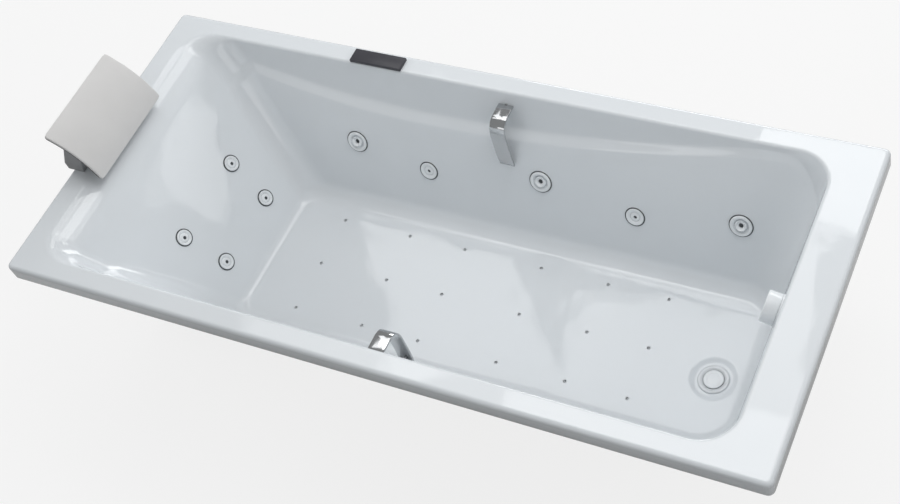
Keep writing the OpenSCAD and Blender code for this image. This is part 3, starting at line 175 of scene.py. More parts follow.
def turned(name, profile, sides=48, ring=False):
    """A piece turned about Z from its profile of (radius, height) in millimetres."""
    bpy.ops.object.select_all(action="DESELECT")
    r, z = profile[0]
    r = max(r, 0.02)
    bpy.ops.mesh.primitive_circle_add(vertices=sides, radius=r * MM, location=(0, 0, z * MM))
    obj = bpy.context.object
    obj.name = name
    bpy.ops.object.transform_apply(location=True, rotation=False, scale=False)
    edit(obj)
    for next_r, next_z in list(profile[1:]) + ([profile[0]] if ring else []):
        next_r = max(next_r, 0.02)
        bpy.ops.mesh.extrude_edges_move()
        bpy.ops.transform.resize(value=(next_r / r, next_r / r, 1), center_override=(0, 0, z * MM))
        bpy.ops.transform.translate(value=(0, 0, (next_z - z) * MM))
        r, z = next_r, next_z
    bpy.ops.mesh.select_all(action="SELECT")
    bpy.ops.mesh.remove_doubles(threshold=0.00006)
    bpy.ops.mesh.normals_make_consistent(inside=False)
    done()
    return obj


def drill(radius, low, high, at=(0, 0), sides=32):
    """A plain cylinder along Z to cut a hole with."""
    bpy.ops.object.select_all(action="DESELECT")
    bpy.ops.mesh.primitive_cylinder_add(
        vertices=sides, radius=radius * MM, depth=(high - low) * MM,
        location=(at[0] * MM, at[1] * MM, (high + low) / 2 * MM))
    obj = bpy.context.object
    bpy.ops.object.transform_apply(location=True, rotation=False, scale=False)
    return obj


def carve(obj, cutters):
    """Cuts these shapes out of a piece."""
    cutter = joined("cutter", *cutters)
    apply(obj, "holes", "BOOLEAN", operation="DIFFERENCE", object=cutter, solver="EXACT")
    bpy.data.objects.remove(cutter, do_unlink=True)


def box(name, middle, size):
    """A box of this size in millimetres about a place in metres."""
    bpy.ops.object.select_all(action="DESELECT")
    bpy.ops.mesh.primitive_cube_add(size=1, location=middle, scale=[value * MM for value in size])
    obj = bpy.context.object
    obj.name = name
    bpy.ops.object.transform_apply(location=True, rotation=False, scale=True)
    return obj


def round_edges(obj, width, segments, angle):
    """Rounds the edges of a piece that are sharper than this angle in degrees."""
    apply(obj, "rounded_edges", "BEVEL", width=width * MM, segments=segments, limit_method="ANGLE",
          angle_limit=math.radians(angle))


def give(obj, body, finish, *stands_for, slot=None, angle=30):
    """Finishes a piece: its material, smooth faces, the body it rides on and the nodes it stands for.

    Edges sharper than the angle in degrees stay sharp.
    """
    if finish:
        obj.data.materials.clear()
        obj.data.materials.append(finish)
    pick(obj)
    bpy.ops.object.shade_smooth_by_angle(angle=math.radians(angle))
    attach(obj, body)
    if stands_for:
        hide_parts(*stands_for)


# Places on the walls: +Z points into the basin

def rim_place(x, y, d):
    """A place d below the rim's top, with +Z up."""
    return Matrix.Translation(((SHIFT_X + x) * MM, y * MM, (RIM_TOP - d) * MM))


def side_y(d):
    """A long wall's distance from the middle at this depth."""
    return WIDTH / 2 - RIM_SIDE - LEAN_SIDE * d


def foot_x(d):
    """The foot wall's place along the bath at this depth."""
    return LENGTH / 2 - RIM_FOOT - LEAN_FOOT * d


def back_x(d):
    """The backrest's place along the bath at this depth."""
    return -(LENGTH / 2 - RIM_HEAD) + LEAN_BACK * d


def side_place(x, d, side, lift=0):
    """A place on a long wall; side is 1 for the far one and -1 for the near one."""
    tip = Matrix.Rotation(side * (math.pi / 2 - math.atan(LEAN_SIDE)), 4, "X")
    return rim_place(x, side * side_y(d), d) @ tip @ Matrix.Translation((0, 0, lift * MM))


def back_place(y, d):
    """A place on the backrest."""
    tip = Matrix.Rotation(math.pi / 2 - math.atan(LEAN_BACK), 4, "Y")
    return rim_place(back_x(d), y, d) @ tip


def foot_place(y, d):
    """A place on the foot wall."""
    tip = Matrix.Rotation(-(math.pi / 2 - math.atan(LEAN_FOOT)), 4, "Y")
    return rim_place(foot_x(d), y, d) @ tip


# Node groups that more than one finish uses

def new_group(name, inputs, outputs):
    """A shader node group with these sockets, and its input and output nodes."""
    group = bpy.data.node_groups.new(name, "ShaderNodeTree")
    for label, kind, value in inputs:
        socket = group.interface.new_socket(label, in_out="INPUT", socket_type=kind)
        socket.default_value = value
    for label, kind in outputs:
        group.interface.new_socket(label, in_out="OUTPUT", socket_type=kind)
    return group, group.nodes.new("NodeGroupInput"), group.nodes.new("NodeGroupOutput")


FLOAT = "NodeSocketFloat"
COLOUR = "NodeSocketColor"


def add(group, kind, **values):
    """Adds a node of this kind with these settings."""
    node = group.nodes.new(kind)
    for key, value in values.items():
        setattr(node, key, value)
    return node


def place_on(group, node, stretch=(1, 1, 1)):
    """Feeds a pattern with the piece's own coordinates."""
    where = add(group, "ShaderNodeTexCoord")
    scale = add(group, "ShaderNodeMapping")
    scale.inputs["Scale"].default_value = stretch
    group.links.new(where.outputs["Object"], scale.inputs["Vector"])
    group.links.new(scale.outputs["Vector"], node.inputs["Vector"])


def sums(group, first, second, how="ADD"):
    """The sum of two sockets or numbers, or what another kind of sum makes of them."""
    node = add(group, "ShaderNodeMath", operation=how)
    for k, value in enumerate((first, second)):
        if isinstance(value, (int, float)):
            node.inputs[k].default_value = value
        else:
            group.links.new(value, node.inputs[k])
    return node.outputs[0]


def blend(group, given, result, share, first, second):
    """Mixes two of a group's colours by a share and hands the mix out."""
    node = add(group, "ShaderNodeMix", data_type="RGBA")
    group.links.new(share, node.inputs["Factor"])
    group.links.new(given.outputs[first], node.inputs["A"])
    group.links.new(given.outputs[second], node.inputs["B"])
    group.links.new(node.outputs["Result"], result.inputs["Colour"])


def spread(group, value, low, high):
    """Spreads what lies between low and high over 0 to 1."""
    node = add(group, "ShaderNodeMapRange")
    node.inputs["From Min"].default_value = low
    node.inputs["From Max"].default_value = high
    group.links.new(value, node.inputs["Value"])
    return node


def make_tone_drift():
    """Slow change between two close colours."""
    group, given, result = new_group("tone_drift", [
        ("Colour", COLOUR, (0.8, 0.8, 0.8, 1)), ("Second colour", COLOUR, (0.7, 0.7, 0.7, 1)),
        ("Scale", FLOAT, 6)], [("Colour", COLOUR)])
    noise = add(group, "ShaderNodeTexNoise")
    noise.inputs["Detail"].default_value = 4
    place_on(group, noise)
    group.links.new(given.outputs["Scale"], noise.inputs["Scale"])
    blend(group, given, result, noise.outputs["Fac"], "Colour", "Second colour")
    return group


def make_gloss_drift():
    """Roughness that wanders between a low and a high value, as on a wiped surface."""
    group, given, result = new_group("gloss_drift", [
        ("Low", FLOAT, 0.05), ("High", FLOAT, 0.1), ("Scale", FLOAT, 20)], [("Roughness", FLOAT)])
    noise = add(group, "ShaderNodeTexNoise")
    noise.inputs["Detail"].default_value = 6
    noise.inputs["Roughness"].default_value = 0.65
    place_on(group, noise)
    group.links.new(given.outputs["Scale"], noise.inputs["Scale"])
    between = spread(group, noise.outputs["Fac"], 0.3, 0.7)
    group.links.new(given.outputs["Low"], between.inputs["To Min"])
    group.links.new(given.outputs["High"], between.inputs["To Max"])
    group.links.new(between.outputs["Result"], result.inputs["Roughness"])
    return group


def make_fine_grain():
    """Height of a moulded or cast surface: a pebbled grain with softer waves under it."""
    group, given, result = new_group("fine_grain", [
        ("Grain scale", FLOAT, 900), ("Wave scale", FLOAT, 4), ("Wave", FLOAT, 0.5)], [("Height", FLOAT)])
    pebble = add(group, "ShaderNodeTexVoronoi", feature="SMOOTH_F1")
    wave = add(group, "ShaderNodeTexNoise")
    wave.inputs["Detail"].default_value = 2
    place_on(group, pebble)
    place_on(group, wave)
    group.links.new(given.outputs["Grain scale"], pebble.inputs["Scale"])
    group.links.new(given.outputs["Wave scale"], wave.inputs["Scale"])
    slow = sums(group, wave.outputs["Fac"], given.outputs["Wave"], "MULTIPLY")
    group.links.new(sums(group, pebble.outputs["Distance"], slow), result.inputs["Height"])
    return group


def make_spangle():
    """Zinc crystals: flat patches whose tone and gloss differ a little."""
    group, given, result = new_group("spangle", [
        ("Colour", COLOUR, (0.6, 0.6, 0.6, 1)), ("Second colour", COLOUR, (0.4, 0.4, 0.4, 1)),
        ("Scale", FLOAT, 120)], [("Colour", COLOUR), ("Roughness", FLOAT)])
    crystal = add(group, "ShaderNodeTexVoronoi")
    place_on(group, crystal)
    group.links.new(given.outputs["Scale"], crystal.inputs["Scale"])
    split = add(group, "ShaderNodeSeparateColor")
    group.links.new(crystal.outputs["Color"], split.inputs["Color"])
    blend(group, given, result, split.outputs["Red"], "Colour", "Second colour")
    gloss = sums(group, sums(group, split.outputs["Green"], 0.2, "MULTIPLY"), 0.3)
    group.links.new(gloss, result.inputs["Roughness"])
    return group


def make_timber():
    """Long growth lines along X with darker streaks."""
    group, given, result = new_group("timber", [
        ("Light", COLOUR, (0.6, 0.45, 0.28, 1)), ("Dark", COLOUR, (0.4, 0.26, 0.14, 1)),
        ("Scale", FLOAT, 30)], [("Colour", COLOUR), ("Height", FLOAT)])
    line = add(group, "ShaderNodeTexNoise")
    line.inputs["Detail"].default_value = 8
    line.inputs["Distortion"].default_value = 0.8
    place_on(group, line, (0.06, 1, 1))
    group.links.new(given.outputs["Scale"], line.inputs["Scale"])
    streak = spread(group, line.outputs["Fac"], 0.35, 0.65).outputs["Result"]
    blend(group, given, result, streak, "Light", "Dark")
    group.links.new(streak, result.inputs["Height"])
    return group


def make_strand_mat():
    """Chopped glass strands under resin: short bright lines in several directions."""
    group, given, result = new_group("strand_mat", [
        ("Resin", COLOUR, (0.62, 0.64, 0.56, 1)), ("Strand", COLOUR, (0.8, 0.82, 0.76, 1)),
        ("Scale", FLOAT, 60)], [("Colour", COLOUR), ("Height", FLOAT)])
    total = None
    for stretch in ((1, 9, 3), (9, 1, 3), (5, 6, 1)):
        strand = add(group, "ShaderNodeTexNoise")
        strand.inputs["Detail"].default_value = 3
        place_on(group, strand, stretch)
        group.links.new(given.outputs["Scale"], strand.inputs["Scale"])
        found = strand.outputs["Fac"]
        total = found if total is None else sums(group, total, found, "MAXIMUM")
    bright = spread(group, total, 0.5, 0.72).outputs["Result"]
    blend(group, given, result, bright, "Resin", "Strand")
    group.links.new(bright, result.inputs["Height"])
    return group


TONE_DRIFT = make_tone_drift()
GLOSS_DRIFT = make_gloss_drift()
FINE_GRAIN = make_fine_grain()
SPANGLE = make_spangle()
TIMBER = make_timber()
STRAND_MAT = make_strand_mat()


# Finishes

def rgb(text):
    """A linear colour from a hexadecimal screen colour."""
    values = [int(text[i:i + 2], 16) / 255 for i in (0, 2, 4)]
    return tuple(v / 12.92 if v <= 0.04045 else ((v + 0.055) / 1.055) ** 2.4 for v in values) + (1,)


def finish(name, *, metallic=0.0, ior=1.5, coat=0.0, coat_roughness=0.03, sheen=0.0, specular=0.5):
    """A material whose constants are set on its own shader."""
    material = bpy.data.materials.new(name)
    material.use_nodes = True
    shader = material.node_tree.nodes["Principled BSDF"]
    shader.inputs["Metallic"].default_value = metallic
    shader.inputs["IOR"].default_value = ior
    shader.inputs["Coat Weight"].default_value = coat
    shader.inputs["Coat Roughness"].default_value = coat_roughness
    shader.inputs["Sheen Weight"].default_value = sheen
    shader.inputs["Specular IOR Level"].default_value = specular
    return material, material.node_tree, shader


def use(tree, group, **values):
    """Places a node group in a material with its own values."""
    node = tree.nodes.new("ShaderNodeGroup")
    node.node_tree = group
    for label, value in values.items():
        node.inputs[label.replace("_", " ")].default_value = value
    return node


def tone(tree, shader, first, second, scale):
    """Two close colours that drift into each other."""
    node = use(tree, TONE_DRIFT, Colour=rgb(first), Second_colour=rgb(second), Scale=scale)
    tree.links.new(node.outputs["Colour"], shader.inputs["Base Color"])


def gloss(tree, shader, low, high, scale):
    """Roughness between a low and a high value."""
    node = use(tree, GLOSS_DRIFT, Low=low, High=high, Scale=scale)
    tree.links.new(node.outputs["Roughness"], shader.inputs["Roughness"])


def bump(tree, shader, height, strength, distance):
    """Feeds a height to the shader's normal; the distance is in metres."""
    node = tree.nodes.new("ShaderNodeBump")
    node.inputs["Strength"].default_value = strength
    node.inputs["Distance"].default_value = distance
    tree.links.new(height, node.inputs["Height"])
    tree.links.new(node.outputs["Normal"], shader.inputs["Normal"])


def grain(tree, shader, scale, wave_scale, wave, strength, distance):
    """A moulded grain with slow waves under it."""
    node = use(tree, FINE_GRAIN, Grain_scale=scale, Wave_scale=wave_scale, Wave=wave)
    bump(tree, shader, node.outputs["Height"], strength, distance)


def make_plain(name, first, second, scale, low, high, grain_scale, depth, **more):
    """A finish with slow tone and gloss drift and a fine moulded grain.

    It takes two tones and the scale of their drift, the least and most roughness, and the scale and
    depth in metres of the grain.
    """
    material, tree, shader = finish(name, **more)
    tone(tree, shader, first, second, scale)
    gloss(tree, shader, low, high, scale * 4)
    grain(tree, shader, grain_scale, wave_scale=12, wave=0.4, strength=0.35, distance=depth)
    return material


def make_acrylic():
    """Glossy white acrylic with the slow waves of a vacuum-formed sheet."""
    material, tree, shader = finish("bath_acrylic", ior=1.49, coat=0.5, coat_roughness=0.015)
    tone(tree, shader, "E2E6E9", "DDE2E6", 2.2)
    gloss(tree, shader, 0.015, 0.035, 9)
    grain(tree, shader, 260, wave_scale=5.5, wave=90, strength=0.5, distance=0.00006)
    return material


def make_strands():
    """The sprayed glass and resin on the shell's back."""
    material, tree, shader = finish("shell_back", coat=0.2)
    mat = use(tree, STRAND_MAT, Resin=rgb("C9CBBE"), Strand=rgb("E6E7DE"), Scale=26)
    tree.links.new(mat.outputs["Colour"], shader.inputs["Base Color"])
    gloss(tree, shader, 0.35, 0.6, 40)
    bump(tree, shader, mat.outputs["Height"], 0.6, 0.0006)
    return material


def make_zinc():
    """Galvanised steel."""
    material, tree, shader = finish("zinc_steel", metallic=1.0)
    crystal = use(tree, SPANGLE, Colour=rgb("B9BDC0"), Second_colour=rgb("8F9499"), Scale=130)
    tree.links.new(crystal.outputs["Colour"], shader.inputs["Base Color"])
    tree.links.new(crystal.outputs["Roughness"], shader.inputs["Roughness"])
    grain(tree, shader, 500, wave_scale=20, wave=0.5, strength=0.2, distance=0.0001)
    return material


def make_wood(name, light, dark, scale, low, high):
    """Bare timber whose growth lines run along the bath."""
    material, tree, shader = finish(name)
    wood = use(tree, TIMBER, Light=rgb(light), Dark=rgb(dark), Scale=scale)
    tree.links.new(wood.outputs["Colour"], shader.inputs["Base Color"])
    gloss(tree, shader, low, high, 30)
    bump(tree, shader, wood.outputs["Height"], 0.4, 0.0004)
    return material


ACRYLIC = make_acrylic()
SHELL_BACK = make_strands()
ZINC = make_zinc()
BOARD = make_wood("floor_board", "C9A775", "A98152", 60, 0.6, 0.8)
BATTEN = make_wood("batten_pine", "DDBE88", "B98F58", 45, 0.55, 0.75)
CHROME = make_plain("grip_chrome", "C6C7C8", "BABCBE", 30, 0.06, 0.13, 700, 0.00002, metallic=1.0)
FLANGE_METAL = make_plain("flange_metal", "DADDE0", "CDD1D4", 30, 0.34, 0.46, 900, 0.00003, metallic=0.35)
JET_WHITE = make_plain("jet_plastic", "ECEFF1", "E4E8EB", 14, 0.16, 0.26, 1400, 0.00003)
# Dark grey that is painted shade: the gaps round the jets and the bottoms of their bores
JET_PAINTED_SHADE = make_plain("jet_painted_shade", "4C5053", "404447", 40, 0.45, 0.6, 1200, 0.00005)
AIR_CAP = make_plain("air_nozzle_cap", "D6DADC", "CCD0D3", 60, 0.3, 0.45, 1200, 0.00004)
NOZZLE_GREY = make_plain("nozzle_grey", "8C9194", "7A7F83", 60, 0.25, 0.4, 1200, 0.00004)
PIPE_WHITE = make_plain("pipe_plastic", "E3E4E1", "D5D7D4", 8, 0.3, 0.45, 600, 0.00008)
HOSE_GREY = make_plain("hose_grey", "8E9294", "7C8083", 12, 0.4, 0.55, 400, 0.0001)
CASING_BLACK = make_plain("casing_black", "2C2D2F", "232426", 12, 0.4, 0.6, 700, 0.00014)
MOTOR_PAINT = make_plain("motor_paint", "5D6468", "525A5E", 9, 0.3, 0.5, 500, 0.00012)
BOX_GREY = make_plain("box_grey", "C2C5C6", "B4B8BA", 6, 0.45, 0.6, 800, 0.00012)
PANEL_DARK = make_plain("panel_dark", "3E3E44", "38383E", 20, 0.3, 0.42, 1500, 0.00004)
PANEL_GLASS = make_plain("panel_glass", "3D3D43", "38383E", 14, 0.3, 0.4, 1500, 0.00001)
PAD_SKIN = make_plain("headrest_skin", "DAD9D8", "D3D2D1", 16, 0.42, 0.52, 1300, 0.00012, sheen=0.15)
# Dark grey under the cushion: painted shade along the pad's edges
PAD_EDGE_SHADE = make_plain("headrest_edge_shade", "6F6F71", "626264", 20, 0.5, 0.62, 900, 0.0001)
BRACKET_GREY = make_plain("bracket_grey", "98999B", "8B8C8E", 20, 0.4, 0.5, 900, 0.0001)
FOOT_BLACK = make_plain("foot_rubber", "3A3B3D", "303133", 20, 0.6, 0.75, 900, 0.0002)


# The shell: rings of points that follow the three kinds of wall

SIDE = 0
FOOT = 1
BACK = 2
LEAN = (LEAN_SIDE, LEAN_FOOT, LEAN_BACK)
ROLL = (EDGE_R, EDGE_R, BACK_ROLL_R)
FILLET = (50, 36, 28)

# Levels of a section: the edge's roll, above and below the armrest line, the step and the floor fillet
ABOVE_SHARES = (0.03, 0.2, 0.4, 0.6, 0.8, 0.92, 1)
BELOW_SHARES = (0.03, 0.2, 0.4, 0.6, 0.8, 0.93, 0.99)
N_ROLL = 12
N_ABOVE = len(ABOVE_SHARES)
N_STEP = 12
N_BELOW = len(BELOW_SHARES)
N_FILLET = 10
FIRST_BELOW = N_ROLL + N_ABOVE + N_STEP
LAST_WALL = FIRST_BELOW + N_BELOW
LAST = LAST_WALL + N_FILLET + 1
CORNER_STEPS = 16
SIDE_STEPS = 70
END_STEPS = 26


def slant(lean):
    """Length along a leaning wall for each unit of depth."""
    return math.sqrt(1 + lean * lean)


def dip(kind):
    """The angle that a wall's top edge rolls through."""
    return math.atan2(1, LEAN[kind])


def mix(a, b, t):
    """The value a share t of the way from a to b."""
    return a + (b - a) * t


def ease(t):
    """A smooth step from 0 to 1."""
    t = max(0.0, min(1.0, t))
    return t * t * (3 - 2 * t)


def softer_max(a, b, k=10):
    """The larger of two values, rounded off where they cross."""
    h = max(k - abs(a - b), 0) / k
    return max(a, b) + h * h * k / 4


def wall_inset(kind, d, off):
    """How far in a wall's face lies at this depth, for a skin that is off thick."""
    return LEAN[kind] * d - off * slant(LEAN[kind])


def roll_end(kind, off):
    """The depth where the top edge's roll meets the wall."""
    return off + (ROLL[kind] - off) * (1 - math.cos(dip(kind)))


def arm_line(x, off):
    """Depth of the armrest line at this place along the bath."""
    half = ARM_REACH_FOOT if x > ARM_X else ARM_REACH_HEAD
    line = ARM_DEPTH * (1 - ((x - ARM_X) / half) ** 2)
    return softer_max(line, roll_end(SIDE, off) + EDGE_R)


def stand_back(d, x):
    """How far the long wall stands back above the armrest line."""
    low = arm_line(x, 0)
    return (LEAN_SIDE - ARM_LEAN) * min(d, low) * (1 - ease((d - low) / ARM_STEP))


def wall_depth(kind, level, off, x):
    """The depth of a level between the top edge's roll and the floor fillet."""
    top = roll_end(kind, off)
    deep = DEPTH + off - (FILLET[kind] + off) * (1 - math.cos(dip(kind)))
    low = arm_line(x, off) if kind == SIDE else max(ARM_DEPTH, top + EDGE_R)
    k = level - N_ROLL
    if k <= N_ABOVE:
        return mix(top, low, ABOVE_SHARES[k - 1])
    if k <= N_ABOVE + N_STEP:
        return low + ARM_STEP * (k - N_ABOVE) / N_STEP
    return mix(low + ARM_STEP, deep, BELOW_SHARES[k - N_ABOVE - N_STEP - 1])


def section(kind, level, off, x=0):
    """Inset and depth of one level of a wall's section."""
    if level <= N_ROLL:
        r = ROLL[kind] - off
        a = dip(kind) * level / N_ROLL
        point = [wall_inset(kind, off, off) - r * math.tan(dip(kind) / 2) + r * math.sin(a),
                 off + r * (1 - math.cos(a))]
    elif level <= LAST_WALL:
        d = wall_depth(kind, level, off, x)
        point = [wall_inset(kind, d, off), d]
    else:
        r = FILLET[kind] + off
        a = dip(kind) * (LAST - level) / N_FILLET
        deep = DEPTH + off
        point = [wall_inset(kind, deep, off) + r * math.tan(dip(kind) / 2) - r * math.sin(a),
                 deep - r * (1 - math.cos(a))]
    if kind == SIDE:
        point[0] -= stand_back(point[1], x)
    return point


def drawn_in(kind, level, off):
    """How far a level lies inside its wall's straight face, at the roll and at the fillet."""
    inset, d = section(kind, level, off, LENGTH)
    return inset - wall_inset(kind, d, off)


def half_ring(xf, xh, rf, rh, zf, zh, sides):
    """Points from the middle of the foot end over the far side to the middle of the head end."""
    turn = [math.pi / 2 * i / CORNER_STEPS for i in range(CORNER_STEPS + 1)]
    y0, z0 = sides[0]
    y1, z1 = sides[-1]
    ring = [(xf, (y0 - rf) * i / (END_STEPS / 2), zf) for i in range(END_STEPS // 2)]
    ring += [(xf - rf + rf * math.cos(q), y0 - rf + rf * math.sin(q), mix(zf, z0, math.sin(q) ** 2))
             for q in turn]
    ring += [(mix(xf - rf, xh + rh, i / SIDE_STEPS), sides[i][0], sides[i][1]) for i in range(1, SIDE_STEPS)]
    ring += [(xh + rh - rh * math.sin(q), y1 - rh + rh * math.cos(q), mix(zh, z1, math.cos(q) ** 2))
             for q in turn]
    ring += [(xh, (y1 - rh) * (1 - i / (END_STEPS / 2)), zh) for i in range(1, END_STEPS // 2 + 1)]
    return ring


def whole_ring(half):
    """A half ring and its mirror image."""
    return half + [(x, -y, z) for x, y, z in reversed(half[1:-1])]


def basin_ring(level, off):
    """One level of the basin, on its inside or off behind it."""
    foot = section(FOOT, level, off)
    back = section(BACK, level, off)
    xf = LENGTH / 2 - RIM_FOOT - foot[0]
    xh = -(LENGTH / 2 - RIM_HEAD) + back[0]
    in_side = drawn_in(SIDE, level, off)
    rf = CORNER_FOOT + off + EDGE_R * foot[1] / DEPTH - (drawn_in(FOOT, level, off) + in_side) / 2
    rh = CORNER_HEAD + off - (drawn_in(BACK, level, off) + in_side) / 2
    sides = []
    for i in range(SIDE_STEPS + 1):
        inset, d = section(SIDE, level, off, mix(xf - rf, xh + rh, i / SIDE_STEPS))
        sides.append((WIDTH / 2 - RIM_SIDE - inset, -d))
    return whole_ring(half_ring(xf, xh, rf, rh, -foot[1], -back[1], sides))


def rim_ring(inset, z):
    """A ring of the rim's outer edge."""
    r = max(CORNER_OUT - inset, 1)
    x = LENGTH / 2 - inset
    return whole_ring(half_ring(x, -x, r, r, z, z, [(WIDTH / 2 - inset, z)] * (SIDE_STEPS + 1)))


def ring_between(first, second, t):
    """The ring a share t of the way from one ring to another."""
    return [tuple(mix(a, b, t) for a, b in zip(p, q)) for p, q in zip(first, second)]


def waste_circle(boundary, r, z):
    """A circle round the waste whose points face those of the floor's border."""
    ring = []
    for x, y, _ in boundary:
        a = math.atan2(y - WASTE[1], x - WASTE[0])
        ring.append((WASTE[0] + r * math.cos(a), WASTE[1] + r * math.sin(a), z))
    return ring


def shell_rings():
    """All rings of the shell, from the waste hole over the basin and the rim to its back."""
    inner = [basin_ring(level, 0) for level in range(LAST, -1, -1)]
    outer = [basin_ring(level, WALL) for level in range(LAST + 1)]
    floor = inner[0]
    lip = waste_circle(floor, DISH_R, -DEPTH)
    boss_low = -DEPTH - DISH_DEPTH - WALL
    rings = [waste_circle(floor, WASTE_HOLE_R, boss_low),
             waste_circle(floor, WASTE_HOLE_R, -DEPTH - DISH_DEPTH - 0.4),
             waste_circle(floor, WASTE_HOLE_R + 0.5, -DEPTH - DISH_DEPTH)]
    for r, d in DISH_CURVE:
        rings.append(waste_circle(floor, r, -DEPTH - d))
    rings.append(lip)
    rings += [ring_between(lip, floor, t) for t in (0.03, 0.2, 0.4, 0.6, 0.8, 0.97)]
    rings += inner
    rim_edge = rim_ring(EDGE_R, 0)
    rings += [ring_between(inner[-1], rim_edge, t) for t in (0.03, 0.25, 0.5, 0.75, 0.97)]
    for i in range(9):
        a = math.pi / 2 * i / 8
        rings.append(rim_ring(EDGE_R * (1 - math.sin(a)), -EDGE_R * (1 - math.cos(a))))
    rings += [rim_ring(0, -EDGE_R - 1), rim_ring(0, -SKIRT + SKIRT_EDGE), rim_ring(0.4, -SKIRT + 0.4),
              rim_ring(SKIRT_EDGE, -SKIRT)]
    back_from = len(rings)
    rings += [rim_ring(WALL, -SKIRT), rim_ring(WALL, -WALL)]
    rings += outer
    base = outer[-1]
    boss = waste_circle(base, WASTE_BOSS_R, -DEPTH - WALL)
    rings += [ring_between(base, boss, t) for t in (0.03, 0.3, 0.6, 0.97)] + [boss]
    rings.append(waste_circle(base, WASTE_BOSS_R, boss_low))
    return rings, back_from


def make_shell():
    """The shell in one closed skin, glossy inside and bare glass and resin behind."""
    rings, back_from = shell_rings()
    n = len(rings[0])
    points = [((x + SHIFT_X) * MM, y * MM, (z + RIM_TOP) * MM) for ring in rings for x, y, z in ring]
    faces = []
    for j in range(len(rings)):
        a, b = j * n, (j + 1) % len(rings) * n
        faces += [(a + i, a + (i + 1) % n, b + (i + 1) % n, b + i) for i in range(n)]
    mesh = bpy.data.meshes.new("bath_shell")
    mesh.from_pydata(points, [], faces)
    mesh.materials.append(ACRYLIC)
    mesh.materials.append(SHELL_BACK)
    for k, face in enumerate(mesh.polygons):
        face.material_index = 1 if k // n >= back_from - 1 else 0
    shell = bpy.data.objects.new("bath_shell", mesh)
    bpy.context.scene.collection.objects.link(shell)
    face_out(shell)
    holes = []
    for side in (-1, 1):
        for i, x in enumerate(JET_X):
            r, d = (BIG_HOLE_R, JET_UPPER) if i % 2 == 0 else (SMALL_HOLE_R, JET_LOWER)
            holes.append(stand(drill(r, -14, 8), side_place(x, d, side)))
    for y, d in BACK_JETS:
        holes.append(stand(drill(SMALL_HOLE_R, -14, 8), back_place(y, d)))
    for x in AIR_X:
        for y in AIR_Y:
            holes.append(stand(drill(AIR_HOLE_R, -12, 6, sides=20), rim_place(x, y, DEPTH)))
    carve(shell, holes)
    give(shell, "tub", None, "tub_shell", slot="shell_white")


make_shell()


# Jets: a bezel with a ball on the large ones, a ring with a spinning disc on the small ones

def jet_bezel():
    """The wide ring that holds a large jet's ball."""
    return turned("jet_bezel", [
        (26.2, 1.7), (26.3, 3), (25.9, 4), (24.9, 4.8), (23.4, 5.2), (21.4, 5.1), (19.7, 4.5), (18.5, 3.6),
        (17.9, 2.4), (17.6, 1), (15.2, -1), (15.6, -6), (16.6, -13.5), (18.9, -13.5), (18.9, 1.7)],
        56, ring=True)


def with_shaded_throat(name, nozzle, r, low, high, at=(0, 0)):
    """A nozzle whose bore has a dark bottom: painted shade deep in the bore."""
    # The bore's bottom is dark grey: painted shade
    shaded_throat = drill(r, low, high, at=at)
    nozzle.data.materials.append(JET_WHITE)
    shaded_throat.data.materials.append(JET_PAINTED_SHADE)
    return joined(name, nozzle, shaded_throat)


def jet_ball():
    """A ball with a dished face and a wide bore."""
    angles = [math.radians(a) for a in range(52, 140, 8)]
    ball = turned("jet_ball", [
        (5.6, -9), (5.6, 4.4), (5.8, 5.2), (6.4, 5.8), (7.6, 6.3), (9.4, 7.4), (10.7, 8.9), (11.2, 9.7),
        (11.6, 9.8)] + [(BALL_R * math.sin(a), BALL_R * math.cos(a)) for a in angles] + [(8.5, -11.5)],
        48, ring=True)
    return with_shaded_throat("jet_ball", ball, 5.55, -8, 2)


def jet_painted_shade(r):
    """A dark ring round a jet: painted shade in the gap round its flange."""
    return turned("jet_painted_shade", [
        (r - 3.2, 1), (r - 3, 1.9), (r - 2.2, 2.25), (r - 1, 2.2), (r - 0.3, 1.8), (r - 0.1, 1)],
        56, ring=True)


def small_jet_ring(r):
    """The white ring round a small jet's disc."""
    return turned("small_jet_ring", [
        (r - 3.1, 1.4), (r - 3.1, 2.6), (r - 3.6, 3.4), (r - 4.5, 3.8), (r - 6.2, 3.7), (14.6, 2.9),
        (13.2, 2.2), (12.5, 1.4)], 56, ring=True)


def jet_disc():
    """The spinning disc with its bore a little off the middle."""
    disc = turned("jet_disc", [
        (0, -14), (11.8, -14), (11.9, 0.6), (11.4, 1.6), (10.4, 2.4), (9, 2.9), (6, 3), (3, 2.8),
        (0, 2.6)], 48)
    carve(disc, [drill(4.3, -20, 10, at=(1, 0))])
    return with_shaded_throat("jet_disc", disc, 4.25, -13, 0.6, at=(1, 0))


